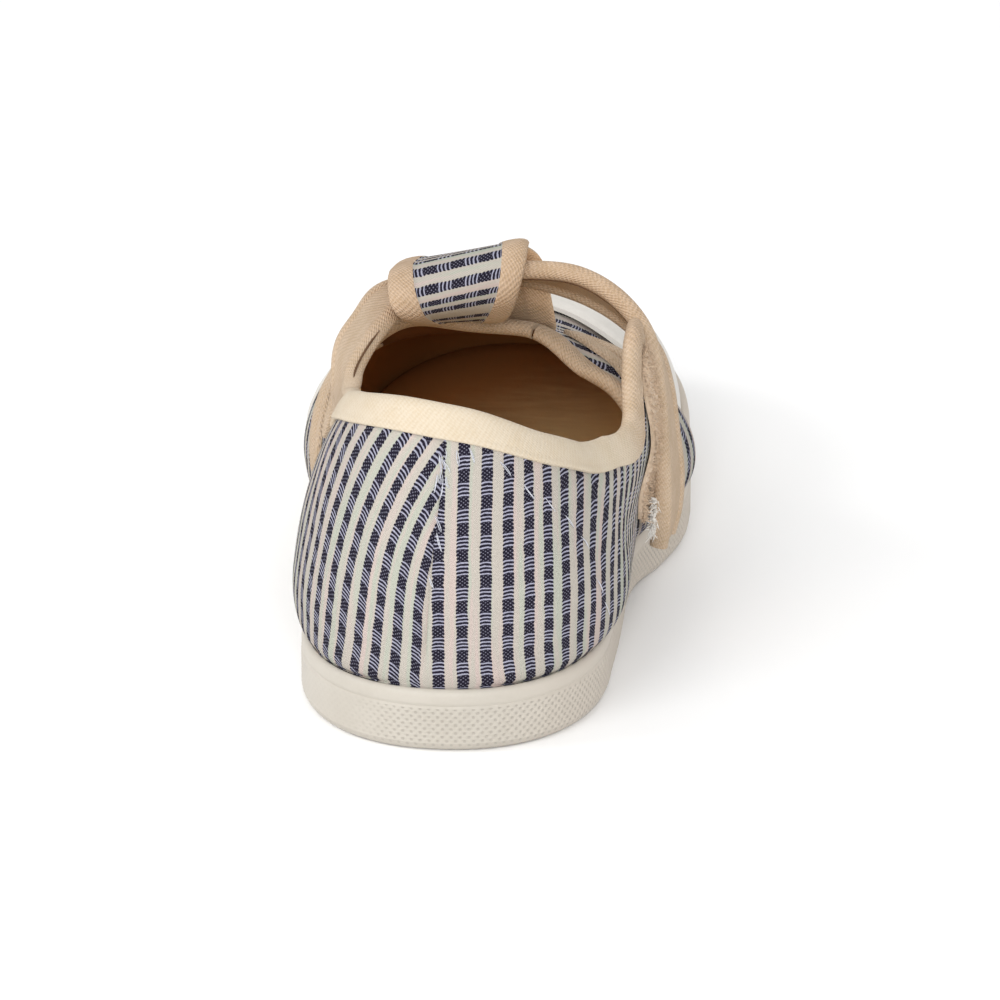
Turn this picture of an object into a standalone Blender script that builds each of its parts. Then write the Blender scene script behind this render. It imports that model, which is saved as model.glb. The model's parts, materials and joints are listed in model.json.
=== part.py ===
"""Child's T-bar canvas shoe, right foot.

Every length below is in millimetres; meshes are written in metres, +Z up.
Heel at -Y, toe at +Y, little-toe (lateral) side at +X.
One named object per sewn or moulded piece, each a closed body.
"""
import math

import bmesh
import bpy
import numpy as np
from mathutils.geometry import delaunay_2d_cdt

MM = 0.001
GAP = 0.3                    # clearance between pieces that are sewn or glued
WRAP_GAP = 0.75              # clearance of a piece that follows the upper's curved face

# ---- last and sole: driving dimensions --------------------------------------
SOLE_LENGTH = 166.0
HEEL_CENTRE = 30.0           # y of the heel's fan centre
TOE_CENTRE = 114.0           # y of the toe's fan centre
SPINE_HEEL_X = -1.7          # x of the centre line at the heel
SPINE_TOE_X = -2.0           # x of the centre line at the ball and toe
HEEL_ROUND = 2.18            # superellipse power of the heel's plan
TOE_ROUND_LATERAL = 2.05
TOE_ROUND_MEDIAL = 2.3

# Sole edge, distance from the shoe's own x = 0 line.
SOLE_PLAN_COLUMNS = ("y", "lateral", "medial")
SOLE_PLAN = (
    (30.0, 22.9, 26.3),
    (45.0, 23.2, 26.2),
    (58.0, 23.2, 26.7),
    (70.0, 24.8, 28.7),
    (81.0, 27.8, 31.0),
    (93.0, 30.5, 33.0),
    (104.0, 30.8, 34.0),
    (114.0, 29.8, 34.3),
)

FOXING_THICKNESS = 2.1
FLOOR_HEEL = 7.0             # top of the sole's floor under the heel
FLOOR_BALL = 5.0
LIP_HEEL = 10.4              # top of the foxing at the heel and sides
LIP_TOE = 15.0
TOE_SPRING = 4.5
SPRING_START = 116.0
ARCH_LIFT = 1.2              # hollow under the waist
LIP_LINE_DROP = 3.7          # shallow line under the foxing's smooth lip

# Last: crown height and superellipse power of each side's rib, its fullness low down,
# and the lateral side's flare towards the top.
LAST_COLUMNS = ("s", "crown_lateral", "crown_medial", "power_lateral", "power_medial",
                "full_lateral", "full_medial", "flare_lateral")
LAST = (
    (0.0, 66.0, 66.0, 3.60, 3.60, 2.0, 2.0, 0.0),
    (15.0, 59.0, 60.0, 3.20, 3.10, 4.4, 3.8, 0.0),
    (30.0, 54.0, 55.0, 3.00, 2.80, 5.6, 3.4, 0.4),
    (42.0, 64.0, 53.0, 3.80, 2.80, 5.0, 2.0, 1.8),
    (50.0, 80.0, 53.0, 5.00, 2.90, 4.2, 1.9, 3.0),
    (58.0, 74.0, 53.0, 4.60, 3.00, 4.2, 2.3, 2.8),
    (66.0, 49.0, 49.0, 3.00, 3.00, 5.6, 3.0, 0.8),
    (76.0, 44.2, 44.2, 2.90, 3.10, 7.2, 3.6, 0.0),
    (86.0, 40.2, 40.2, 2.60, 2.90, 7.0, 4.2, 0.0),
    (93.0, 37.8, 37.8, 2.32, 2.70, 5.2, 3.8, 0.0),
    (102.0, 35.3, 35.3, 2.08, 2.50, 3.0, 3.0, 0.0),
    (114.0, 33.0, 33.0, 2.02, 2.40, 0.8, 1.2, 0.0),
    (140.0, 33.0, 33.0, 2.20, 2.30, 0.8, 1.0, 0.0),
    (166.0, 33.0, 33.0, 2.20, 2.20, 0.8, 0.8, 0.0),
)
FULL_SPAN = 60.0             # height over which a rib's fullness dies out
FLARE_SPAN = 50.0            # height over which the lateral flare builds up

UPPER_WALL = 1.8
LIP_ROWS = (0.1, 3.0)        # heights above the foxing of the wall's lowest two rows of points
FILL_SHARES = (0.12, 0.25, 0.38, 0.5, 0.6, 0.69, 0.77)
INSOLE_THICKNESS = 2.6
SOCK_INSET = 5.0             # edge of the insole, in from the sole's edge

# ---- edges of the upper, each a loop of places near the canvas's outer face --
EDGE_COLUMNS = ("x", "y", "z")
FOOT_OPENING = (
    (-1.5, 6.0, 53.0),
    (9.5, 8.4, 49.8),
    (16.5, 15.5, 45.6),
    (20.4, 24.0, 41.8),
    (22.2, 32.0, 39.8),
    (23.6, 38.0, 39.6),
    (24.6, 42.0, 42.6),
    (24.8, 45.0, 47.6),
    (24.4, 50.2, 52.0),
    (24.4, 55.8, 50.8),
    (25.0, 58.8, 45.0),
    (24.6, 60.2, 37.5),
    (25.2, 60.6, 32.2),
    (25.0, 62.6, 30.2),
    (23.4, 64.6, 31.8),
    (18.0, 68.0, 37.0),
    (10.5, 74.0, 42.0),
    (0.0, 76.6, 44.0),
    (-9.0, 75.4, 43.8),
    (-17.0, 70.6, 41.0),
    (-23.0, 65.4, 36.4),
    (-26.4, 62.4, 32.0),
    (-26.8, 60.4, 33.0),
    (-25.8, 58.6, 37.0),
    (-24.2, 57.0, 41.0),
    (-22.0, 52.0, 42.8),
    (-20.2, 44.0, 43.8),
    (-19.0, 37.0, 44.8),
    (-18.0, 30.0, 46.4),
    (-16.2, 20.0, 49.6),
    (-10.6, 10.4, 52.6),
)
CUTOUT_LATERAL = (
    (12.6, 81.6, 38.2),
    (19.2, 76.0, 35.0),
    (26.0, 70.0, 29.0),
    (28.6, 67.0, 23.6),
    (30.0, 69.4, 22.0),
    (29.6, 74.6, 25.4),
    (24.0, 80.6, 32.0),
    (16.0, 84.6, 36.8),
)
CUTOUT_MEDIAL = (
    (-19.6, 80.0, 38.0),
    (-24.6, 75.0, 34.6),
    (-28.0, 69.6, 29.0),
    (-29.2, 66.8, 24.4),
    (-30.6, 68.4, 23.0),
    (-31.0, 73.0, 26.6),
    (-27.6, 78.6, 33.0),
    (-22.0, 83.0, 36.8),
)
TOE_CAP_REAR_CENTRE = 116.0  # y of the toe cap's rear edge on the centre line
TOE_CAP_REAR_SIDE = 97.0     # y where that edge meets the foxing
TOE_CAP_THICKNESS = 1.3

BINDING_THICKNESS = 0.8
THROAT_JOINT = (7.0, 75.6, 43.0)         # where the collar's tape meets the throat's
STRAP_ROOT_REAR = (-18.8, 36.4, 44.8)   # the strap grows from the medial quarter between these
STRAP_ROOT_FRONT = (-23.6, 56.0, 40.4)
COLLAR_BINDING_DEPTH = 3.8
THROAT_BINDING_DEPTH = 3.2
CUTOUT_BINDING_DEPTH = 2.4

# ---- strap: rear and front edge of its middle surface ------------------------
STRAP_COLUMNS = ("rear_x", "rear_y", "rear_z", "front_x", "front_y", "front_z")
STRAP = (
    (-18.9, 37.4, 46.0, -24.5, 57.6, 42.4),
    (-18.7, 41.6, 48.2, -23.6, 60.6, 44.9),
    (-17.2, 47.6, 51.0, -21.2, 64.8, 47.6),
    (-14.6, 55.0, 54.0, -17.7, 70.2, 50.2),
    (-8.6, 59.8, 56.2, -11.0, 75.2, 52.0),
    (-1.0, 61.8, 57.6, -2.0, 77.2, 52.9),
    (7.5, 62.4, 58.6, 7.2, 77.8, 54.1),
    (15.0, 61.8, 58.2, 15.3, 77.0, 53.3),
    (21.6, 60.0, 54.9, 21.6, 75.6, 49.4),
    (26.4, 57.8, 49.2, 26.5, 73.2, 43.8),
    (28.8, 55.2, 41.0, 29.4, 71.0, 36.6),
    (30.4, 53.2, 33.0, 31.4, 69.4, 29.4),
    (31.2, 52.4, 25.4, 32.6, 68.6, 22.8),
    (31.1, 52.6, 18.6, 32.5, 68.2, 17.0),
    (30.2, 55.0, 13.8, 31.4, 65.8, 13.2),
)
STRAP_THICKNESS = 2.0
STRAP_RIM = 2.4              # width of its bound edge
RIM_RAISE = 0.35

# ---- T-bar: a strip that climbs from the vamp, over the strap and back down --
T_BAR_COLUMNS = ("y", "z", "centre_x", "half_width", "skew", "roll")
T_BAR = (
    (98.0, 37.7, -3.4, 12.6, 0.0, 0.0),
    (92.0, 40.2, -3.8, 11.2, 0.0, 0.0),
    (86.5, 44.0, -4.4, 9.8, 0.4, 0.2),
    (82.8, 49.2, -5.0, 9.0, 1.0, 0.4),
    (80.2, 53.6, -5.1, 9.4, 1.6, 0.6),
    (74.4, 56.3, -5.0, 10.1, 2.4, 1.1),
    (67.6, 58.5, -4.8, 10.9, 3.2, 1.7),
    (61.0, 59.7, -4.6, 11.1, 3.9, 1.8),
    (56.6, 57.5, -4.6, 10.9, 4.4, 1.6),
    (56.4, 54.4, -4.6, 10.0, 3.9, 1.0),
    (60.0, 51.4, -4.4, 8.8, 2.2, 0.6),
    (64.6, 49.0, -4.2, 7.4, 1.0, 0.2),
    (70.6, 47.5, -4.1, 6.4, 0.2, 0.0),
    (75.2, 46.7, -4.0, 6.2, 0.0, 0.0),
)
T_BAR_THICKNESS = 1.4
T_BAR_RIM = 3.6

# ---- hook and loop tape ------------------------------------------------------
PATCH_THICKNESS = 0.8
HOOK_ROWS = (56, 78)         # stretch of the strap, in eightieths of its length
HOOK_INSET = 3.6
LOOP_TAPE = (
    (25.0, 49.6, 42.0),
    (25.0, 54.0, 42.0),
    (26.4, 54.6, 32.0),
    (26.8, 54.8, 22.0),
    (26.8, 49.4, 22.0),
    (26.4, 49.2, 32.0),
)


# ---- small numeric helpers ---------------------------------------------------
def unit(vectors):
    """Rows of an array scaled to length one."""
    length = np.linalg.norm(vectors, axis=-1, keepdims=True)
    return vectors / np.maximum(length, 1e-9)


def smooth(rows, x):
    """Smooth curve through rows (x, value...): every column after the first, at x."""
    rows = np.asarray(rows, float)
    x = np.clip(np.asarray(x, float), rows[0, 0], rows[-1, 0])
    knots = rows[:, 0]
    values = rows[:, 1:]
    steps = np.diff(knots)[:, None]
    slopes = np.diff(values, axis=0) / steps
    inner = (slopes[:-1] * steps[1:] + slopes[1:] * steps[:-1]) / (steps[1:] + steps[:-1])
    turning = slopes[:-1] * slopes[1:] <= 0
    inner = np.where(turning, 0.0, inner)
    tangents = np.vstack([slopes[:1] * 0, inner, slopes[-1:] * 0])
    i = np.clip(np.searchsorted(knots, x, side="right") - 1, 0, len(knots) - 2)
    h = knots[i + 1] - knots[i]
    t = ((x - knots[i]) / h)[..., None]
    h = h[..., None]
    a = 2 * t**3 - 3 * t**2 + 1
    b = t**3 - 2 * t**2 + t
    c = -2 * t**3 + 3 * t**2
    d = t**3 - t**2
    return a * values[i] + b * h * tangents[i] + c * values[i + 1] + d * h * tangents[i + 1]


def curve(points, count, closed):
    """Catmull-Rom curve through points, resampled at count even steps."""
    p = np.asarray(points, float)
    if closed:
        p = np.vstack([p[-1:], p, p[:2]])
    else:
        p = np.vstack([2 * p[:1] - p[1:2], p, 2 * p[-1:] - p[-2:-1]])
    t = np.linspace(0, 1, 13)[:-1, None]
    parts = []
    for i in range(1, len(p) - 2):
        p0, p1, p2, p3 = p[i - 1], p[i], p[i + 1], p[i + 2]
        parts.append(0.5 * (2 * p1 + (p2 - p0) * t + (2 * p0 - 5 * p1 + 4 * p2 - p3) * t**2
                            + (3 * p1 - p0 - 3 * p2 + p3) * t**3))
    fine = np.vstack(parts + [p[-2:-1]])
    run = np.concatenate([[0], np.cumsum(np.linalg.norm(np.diff(fine, axis=0), axis=1))])
    at = np.linspace(0, run[-1], count + 1 if closed else count)
    if closed:
        at = at[:-1]
    return np.column_stack([np.interp(at, run, fine[:, k]) for k in range(fine.shape[1])])


# ---- plan of the sole --------------------------------------------------------
def spine_x(y):
    """x of the centre line."""
    t = np.clip((y - HEEL_CENTRE) / (TOE_CENTRE - HEEL_CENTRE), 0, 1)
    return SPINE_HEEL_X + (SPINE_TOE_X - SPINE_HEEL_X) * t


def rib_frame(side, s):
    """Foot and direction, in plan, of the rib at station s of one side (+1 lateral)."""
    y = np.clip(s, HEEL_CENTRE, TOE_CENTRE)
    turn = np.where(s < HEEL_CENTRE, s / HEEL_CENTRE, (SOLE_LENGTH - s) / (SOLE_LENGTH - TOE_CENTRE))
    turn = np.clip(turn, 0, 1) * math.pi / 2
    ahead = np.where(s < HEEL_CENTRE, -np.cos(turn), np.cos(turn))
    straight = (s >= HEEL_CENTRE) & (s <= TOE_CENTRE)
    dx = side * np.where(straight, 1.0, np.sin(turn))
    dy = np.where(straight, 0.0, ahead)
    return np.stack([spine_x(y), y], -1), np.stack([dx, dy], -1)


def sole_reach(side, s):
    """Distance from the centre line to the sole's edge along a rib."""
    y = np.clip(s, HEEL_CENTRE, TOE_CENTRE)
    both = smooth(SOLE_PLAN, y)
    half = np.where(side > 0, both[..., 0] - spine_x(y), both[..., 1] + spine_x(y))
    _, direction = rib_frame(side, s)
    across = np.abs(direction[..., 0])
    along = np.abs(direction[..., 1])
    toe_power = np.where(side > 0, TOE_ROUND_LATERAL, TOE_ROUND_MEDIAL)
    power = np.where(s < HEEL_CENTRE, HEEL_ROUND, toe_power)
    depth = np.where(s < HEEL_CENTRE, HEEL_CENTRE, SOLE_LENGTH - TOE_CENTRE)
    fan = ((across / half) ** power + (along / depth) ** power) ** (-1 / power)
    return np.where((s < HEEL_CENTRE) | (s > TOE_CENTRE), fan, half)


def ground(y):
    """Underside of the sole: flat heel and tread, hollow waist, toe spring."""
    rise = np.clip((y - SPRING_START) / (SOLE_LENGTH - SPRING_START), 0, 1)
    waist = np.clip((y - 50.0) / 34.0, 0, 1)
    return TOE_SPRING * rise**2 + ARCH_LIFT * np.sin(math.pi * waist) ** 2


def spring(y):
    """Lift of everything above the toe."""
    return TOE_SPRING * np.clip((y - SPRING_START) / (SOLE_LENGTH - SPRING_START), 0, 1) ** 2


def floor(y):
    """Top of the sole's floor, inside the foxing."""
    t = np.clip((y - 50.0) / 45.0, 0, 1)
    return FLOOR_HEEL + (FLOOR_BALL - FLOOR_HEEL) * t**2 * (3 - 2 * t) + spring(y)


def lip(y):
    """Top of the foxing."""
    t = np.clip((y - 90.0) / 60.0, 0, 1)
    return LIP_HEEL + (LIP_TOE - LIP_HEEL) * t**2 * (3 - 2 * t)


# ---- outer face of the upper -------------------------------------------------
RIB_STEPS = 120


def rib_profile(side, s):
    """Plan reach and height down a rib, crown to sole, crowded towards both ends."""
    columns = smooth(LAST, s)
    pick = side > 0
    crown = np.where(pick, columns[..., 0], columns[..., 1])[..., None]
    power = np.where(pick, columns[..., 2], columns[..., 3])[..., None]
    full = np.where(pick, columns[..., 4], columns[..., 5])[..., None]
    origin, direction = rib_frame(side, s)
    reach = (sole_reach(side, s) - FOXING_THICKNESS - GAP)[..., None]
    base_y = origin[..., 1:] + direction[..., 1:] * reach
    base = floor(base_y) + GAP
    top = lip(base_y)
    even = np.linspace(0, 1, RIB_STEPS)
    corner = 2 ** (1 - 1 / power)
    across = corner * np.minimum(even, 0.5)
    fall = corner * np.minimum(1 - even, 0.5)
    out = np.where(even < 0.5, across, (1 - fall**power) ** (1 / power))
    down = np.where(even < 0.5, (1 - across**power) ** (1 / power), fall)
    z = base + (crown - base) * down
    level = np.clip((z - top - 0.8) / FULL_SPAN, 0, 1) ** 0.38
    high = np.clip((z - top) / FLARE_SPAN, 0, 1)
    flare = np.where(side > 0, columns[..., 6], 0.0)[..., None] * high**2 * (3 - 2 * high)
    swell = (full * np.sin(math.pi * level) ** 2 + flare) * np.minimum(out * 1.6, 1)
    return reach * out + swell, z


def to_rib(q):
    """Chart place to (side, station, share of the way from crown to sole)."""
    x, y = q[..., 0], q[..., 1]
    mid = np.clip(y, HEEL_CENTRE, TOE_CENTRE)
    dx = x - spine_x(mid)
    dy = y - mid
    side = np.where(dx >= 0, 1.0, -1.0)
    turn = np.arctan2(np.abs(dx), np.abs(dy)) / (math.pi / 2)
    s = np.where(y < HEEL_CENTRE, HEEL_CENTRE * turn,
                 np.where(y > TOE_CENTRE, SOLE_LENGTH - (SOLE_LENGTH - TOE_CENTRE) * turn, y))
    return side, s, np.hypot(dx, dy) / sole_reach(side, s)


def to_chart(side, s, share):
    """Place on the chart: the sole's plan, each rib unrolled to fill it."""
    origin, direction = rib_frame(side, s)
    return origin + direction * (sole_reach(side, s) * share)[..., None]


def face(q):
    """Chart places to points on the upper's outer face."""
    q = np.asarray(q, float)
    side, s, share = to_rib(q)
    out, z = rib_profile(side, s)
    run = np.cumsum(np.hypot(np.diff(out, axis=-1), np.diff(z, axis=-1)), axis=-1)
    run = np.concatenate([np.zeros(run.shape[:-1] + (1,)), run], -1)
    want = np.clip(share, 0, 1.0) * run[..., -1]
    k = np.clip((run < want[..., None]).sum(-1), 1, RIB_STEPS - 1)[..., None]
    lo = np.take_along_axis(run, k - 1, -1)
    t = (want[..., None] - lo) / np.maximum(np.take_along_axis(run, k, -1) - lo, 1e-9)
    reach = np.take_along_axis(out, k - 1, -1) * (1 - t) + np.take_along_axis(out, k, -1) * t
    height = np.take_along_axis(z, k - 1, -1) * (1 - t) + np.take_along_axis(z, k, -1) * t
    origin, direction = rib_frame(side, s)
    return np.concatenate([origin + direction * reach, height], -1)


def normal(q):
    """Outward normal of the upper's face."""
    q = np.asarray(q, float)
    step = 0.35
    along_x = face(q + [step, 0]) - face(q - [step, 0])
    inward = np.array([0.0, 1.0]) * np.where(q[..., 1:] < TOE_CENTRE, 1, -1)
    along_y = (face(q + inward * step) - face(q)) * np.where(q[..., 1:] < TOE_CENTRE, 1, -1)
    return unit(np.cross(along_x, along_y))


def shell(q, offset):
    """Points at an offset outside the upper's face."""
    return face(q) + normal(q) * np.asarray(offset, float)[..., None]


def place_on_face(points):
    """Chart places of the face's points nearest to the given places."""
    s = np.linspace(0, SOLE_LENGTH, 327)
    share = np.linspace(0.02, 1, 90)
    grid_s, grid_share = np.meshgrid(s, share, indexing="ij")
    charts = []
    for side in (1.0, -1.0):
        charts.append(to_chart(np.full(grid_s.shape, side), grid_s, grid_share).reshape(-1, 2))
    charts = np.vstack(charts)
    faces = face(charts)
    found = [charts[np.argmin(((faces - p) ** 2).sum(1))] for p in np.asarray(points, float)]
    return np.array(found)


def share_at_height(side, s, height):
    """Share of a rib at which it comes down to a height."""
    low = np.zeros_like(s)
    high = np.ones_like(s)
    for _ in range(24):
        mid = (low + high) / 2
        above = face(to_chart(side, s, mid))[..., 2] > height
        low = np.where(above, mid, low)
        high = np.where(above, high, mid)
    return (low + high) / 2


# ---- mesh building -----------------------------------------------------------
def ring_faces(rings, count, closed_rings):
    """Quads between consecutive rings of count points."""
    faces = []
    for r in range(rings if closed_rings else rings - 1):
        a = r * count
        b = ((r + 1) % rings) * count
        for k in range(count):
            n = (k + 1) % count
            faces.append((a + k, a + n, b + n, b + k))
    return faces


def turning(loop):
    """+1 for a loop that runs anticlockwise, -1 for one that runs clockwise."""
    ahead = np.roll(loop, -1, axis=0)
    return 1.0 if (loop[:, 0] * ahead[:, 1] - ahead[:, 0] * loop[:, 1]).sum() > 0 else -1.0


def inside(loop, q):
    """Which chart places lie inside a loop."""
    x, y = q[:, 0][:, None], q[:, 1][:, None]
    a = loop
    b = np.roll(loop, -1, axis=0)
    crosses = (a[:, 1] > y) != (b[:, 1] > y)
    dy = np.where(b[:, 1] == a[:, 1], 1e-12, b[:, 1] - a[:, 1])
    at = (b[:, 0] - a[:, 0]) * (y - a[:, 1]) / dy + a[:, 0]
    return ((crosses & (x < at)).sum(1) % 2) == 1


def clear_of(loops, q, room):
    """Which chart places keep at least room from every loop's points."""
    edge = np.vstack(loops)
    return np.array([((edge - p) ** 2).sum(1).min() > room * room for p in q])


def sheet(outline, holes, fill, outer_offset, inner_offset):
    """Closed wall over a region of the chart, between two offsets of the face."""
    loops = [outline] + holes
    keep = inside(outline, fill) & clear_of(holes or [outline], fill, 1.3)
    for hole in holes:
        keep &= ~inside(hole, fill)
    points = np.vstack(loops + [fill[keep]])
    edges = []
    start = 0
    for loop in loops:
        n = len(loop)
        edges += [(start + k, start + (k + 1) % n) for k in range(n)]
        start += n
    flat, _, triangles, _, _, _ = delaunay_2d_cdt([tuple(p) for p in points], edges, [], 0, 1e-7)
    flat = np.array([tuple(p) for p in flat])
    centres = np.array([flat[list(t)].mean(0) for t in triangles])
    good = inside(outline, centres)
    for hole in holes:
        good &= ~inside(hole, centres)
    triangles = [t for t, ok in zip(triangles, good) if ok]
    count = len(flat)
    verts = np.vstack([shell(flat, np.full(count, outer_offset)),
                       shell(flat, np.full(count, inner_offset))])
    faces = [tuple(t) for t in triangles] + [tuple(i + count for i in reversed(t)) for t in triangles]
    faces += [(a, b, b + count, a + count) for a, b in edges]
    return verts, faces


def sweep(sections, closed):
    """Closed body through cross-sections (stations, points, 3)."""
    stations, count, _ = sections.shape
    faces = ring_faces(stations, count, closed)
    if not closed:
        faces.append(tuple(range(count)))
        faces.append(tuple((stations - 1) * count + k for k in range(count)))
    return sections.reshape(-1, 3), faces


def ribbon(rear, front, thickness, rim, raised):
    """Strip between two edge curves with thicker, bound edges."""
    across = unit(front - rear)
    along = unit(np.gradient((rear + front) / 2, axis=0))
    up = unit(np.cross(across, along))
    width = np.linalg.norm(front - rear, axis=1, keepdims=True)
    thin = thickness / 2
    thick = thin + raised
    inset = np.minimum(rim, width * 0.3)
    profile = ((inset * 0.25, thick * 0.92), (inset, thick), (inset + 0.5, thin),
               (width - inset - 0.5, thin), (width - inset, thick), (width - inset * 0.25, thick * 0.92),
               (width, 0.0),
               (width - inset * 0.25, -thick * 0.92), (width - inset, -thick), (width - inset - 0.5, -thin),
               (inset + 0.5, -thin), (inset, -thick), (inset * 0.25, -thick * 0.92), (inset * 0, 0.0))
    return np.stack([rear + across * a + up * h for a, h in profile], 1)


def binding(loop, closed, depth, turn):
    """U-shaped tape over an edge of the upper; turn is +1 if the edge runs anticlockwise."""
    if closed:
        along = np.roll(loop, -1, axis=0) - np.roll(loop, 1, axis=0)
    else:
        along = np.gradient(loop, axis=0)
    along = unit(along)
    into = np.stack([along[:, 1], -along[:, 0]], -1) * turn
    probe = 0.5
    scale = np.linalg.norm(face(loop + into * probe) - face(loop), axis=1) / probe
    deep = loop + into * (depth / scale)[:, None]
    half = loop + into * (depth * 0.5 / scale)[:, None]
    n = len(loop)
    up = normal(loop)
    out_dir = unit(face(loop) - face(loop + into * probe))
    over = np.cross(unit(np.gradient(face(loop), axis=0)), up)
    over = unit(np.where(((over * out_dir).sum(1) > 0)[:, None], over, -over))
    top = shell(loop, np.zeros(n))
    low = shell(loop, np.full(n, -UPPER_WALL))
    near = WRAP_GAP
    far = WRAP_GAP + BINDING_THICKNESS
    ring = [shell(deep, np.full(n, near)),
            shell(deep, np.full(n, far - 0.1)),
            shell(half, np.full(n, far)),
            top + up * far,
            (top + low) / 2 + over * (far + 0.2),
            low - up * far,
            shell(deep, np.full(n, -UPPER_WALL - far + 0.1)),
            shell(deep, np.full(n, -UPPER_WALL - near)),
            low - up * near + over * GAP,
            top + up * near + over * GAP,
            shell(half, np.full(n, near))]
    return np.stack(ring, 1)


pieces = []


def piece(name, verts, faces, colour, roughness, sharp=35.0):
    """Keep a body in millimetres until all are known."""
    pieces.append((name, np.asarray(verts, float), faces, colour, roughness, sharp))


def add_object(name, verts, faces, colour, roughness, sharp, shift):
    """Make one Blender object from a body in millimetres."""
    mesh = bpy.data.meshes.new(name)
    mesh.from_pydata([tuple((v + shift) * MM) for v in verts], [], faces)
    work = bmesh.new()
    work.from_mesh(mesh)
    bmesh.ops.recalc_face_normals(work, faces=work.faces)
    work.to_mesh(mesh)
    work.free()
    mesh.shade_smooth()
    mesh.set_sharp_from_angle(angle=math.radians(sharp))
    material = bpy.data.materials.new(name + "_material")
    material.use_nodes = True
    shader = material.node_tree.nodes["Principled BSDF"]
    shader.inputs["Base Color"].default_value = (*colour, 1.0)
    shader.inputs["Roughness"].default_value = roughness
    shader.inputs["Metallic"].default_value = 0.0
    mesh.materials.append(material)
    body = bpy.data.objects.new(name, mesh)
    bpy.context.scene.collection.objects.link(body)
    return body


# ---- the pieces --------------------------------------------------------------
CREAM = (0.86, 0.78, 0.64)
RUBBER = (0.83, 0.79, 0.70)
CANVAS = (0.62, 0.61, 0.63)
TAN = (0.45, 0.27, 0.12)
FLEECE = (0.80, 0.74, 0.62)


def rib_stations(step_side, step_fan):
    """Stations round the whole plan: lateral heel to toe, then medial toe to heel."""
    heel = np.arange(0, HEEL_CENTRE, step_fan)
    side = np.linspace(HEEL_CENTRE, TOE_CENTRE, int((TOE_CENTRE - HEEL_CENTRE) / step_side) + 1)
    toe = np.linspace(TOE_CENTRE, SOLE_LENGTH, int((SOLE_LENGTH - TOE_CENTRE) / step_fan) + 1)[1:]
    one = np.concatenate([heel, side, toe])
    s = np.concatenate([one, one[-2:0:-1]])
    sides = np.concatenate([np.ones(len(one)), -np.ones(len(one) - 2)])
    return sides, s


def plan_ring(sides, s, inset):
    """The sole's plan moved inwards by an inset or, below 1, shrunk to a share of itself."""
    origin, direction = rib_frame(sides, s)
    reach = sole_reach(sides, s)
    reach = reach * -inset if inset < 0 else reach - inset
    return origin + direction * reach[:, None]


def body_of_rings(table, sides, s):
    """Closed body from (inset, height) rings, first and last closed along the spine."""
    rings = []
    for inset, height in table:
        xy = plan_ring(sides, s, inset)
        rings.append(np.column_stack([xy, height(xy[:, 1])]))
    count = len(s)
    verts = list(np.vstack(rings))
    faces = ring_faces(len(table), count, False)
    mid = np.clip(s, HEEL_CENTRE, TOE_CENTRE)
    for ring, (_, height) in ((0, table[0]), (len(table) - 1, table[-1])):
        first = ring * count
        spine = {}
        for y in mid:
            if y not in spine:
                spine[y] = len(verts)
                verts.append(np.array([spine_x(y), y, height(y)]))
        for k in range(count):
            n = (k + 1) % count
            a, b = spine[mid[k]], spine[mid[n]]
            rim = (first + k, first + n)
            faces.append(rim + (b,) if a == b else rim + (b, a))
    return verts, faces


def make_outsole():
    """Cup sole: floor, foxing wall with a smooth lip, hollow waist, toe spring."""
    sides, s = rib_stations(5.0, 3.4)
    table = (
        (-0.5, lambda y: ground(y)),
        (1.0, lambda y: ground(y)),
        (0.3, lambda y: ground(y) + 0.35),
        (0.0, lambda y: ground(y) + 1.2),
        (0.0, lambda y: lip(y) - LIP_LINE_DROP - 0.3),
        (0.35, lambda y: lip(y) - LIP_LINE_DROP),
        (0.15, lambda y: lip(y) - LIP_LINE_DROP + 0.4),
        (0.15, lambda y: lip(y) - 1.2),
        (0.55, lambda y: lip(y) - 0.35),
        (1.1, lambda y: lip(y)),
        (1.8, lambda y: lip(y) - 0.2),
        (FOXING_THICKNESS, lambda y: lip(y) - 0.6),
        (FOXING_THICKNESS, lambda y: floor(y)),
        (SOCK_INSET, lambda y: floor(y)),
        (-0.6, lambda y: floor(y)),
    )
    verts, faces = body_of_rings(table, sides, s)
    piece("outsole", verts, faces, RUBBER, 0.55, 40.0)


def make_insole():
    """Sock: a pad on the floor, inside the upper."""
    sides, s = rib_stations(5.0, 3.4)
    table = (
        (-0.6, lambda y: floor(y) + GAP),
        (SOCK_INSET, lambda y: floor(y) + GAP),
        (SOCK_INSET + 0.1, lambda y: floor(y) + INSOLE_THICKNESS - 0.6),
        (SOCK_INSET + 1.0, lambda y: floor(y) + INSOLE_THICKNESS),
        (-0.5, lambda y: floor(y) + INSOLE_THICKNESS - 0.6),
    )
    verts, faces = body_of_rings(table, sides, s)
    piece("insole", verts, faces, TAN, 0.8, 40.0)


def fill_places(step_side, step_fan, levels):
    """Even places over the chart, along ribs."""
    sides, s = rib_stations(step_side, step_fan)
    places = []
    for share in levels:
        places.append(to_chart(sides, s, np.full(len(s), share)))
    return np.vstack(places)


def wall_places():
    """Places shared by every wall that follows the face, with rows just above the foxing."""
    sides, s = rib_stations(4.1, 3.4)
    edge = to_chart(sides, s, np.ones(len(s)))[:, 1]
    rows = [to_chart(sides, s, share_at_height(sides, s, lip(edge) + rise)) for rise in LIP_ROWS]
    fill = fill_places(5.0, 3.8, FILL_SHARES)
    places = face(fill)
    fill = fill[places[:, 2] > lip(places[:, 1]) + LIP_ROWS[-1] + 1.8]
    return np.vstack(rows + [fill])


def edge_loops():
    """The upper's cut edges on the chart."""
    opening = curve(place_on_face(FOOT_OPENING), 88, True)
    lateral = curve(place_on_face(CUTOUT_LATERAL), 22, True)
    medial = curve(place_on_face(CUTOUT_MEDIAL), 22, True)
    return opening, lateral, medial


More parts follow.
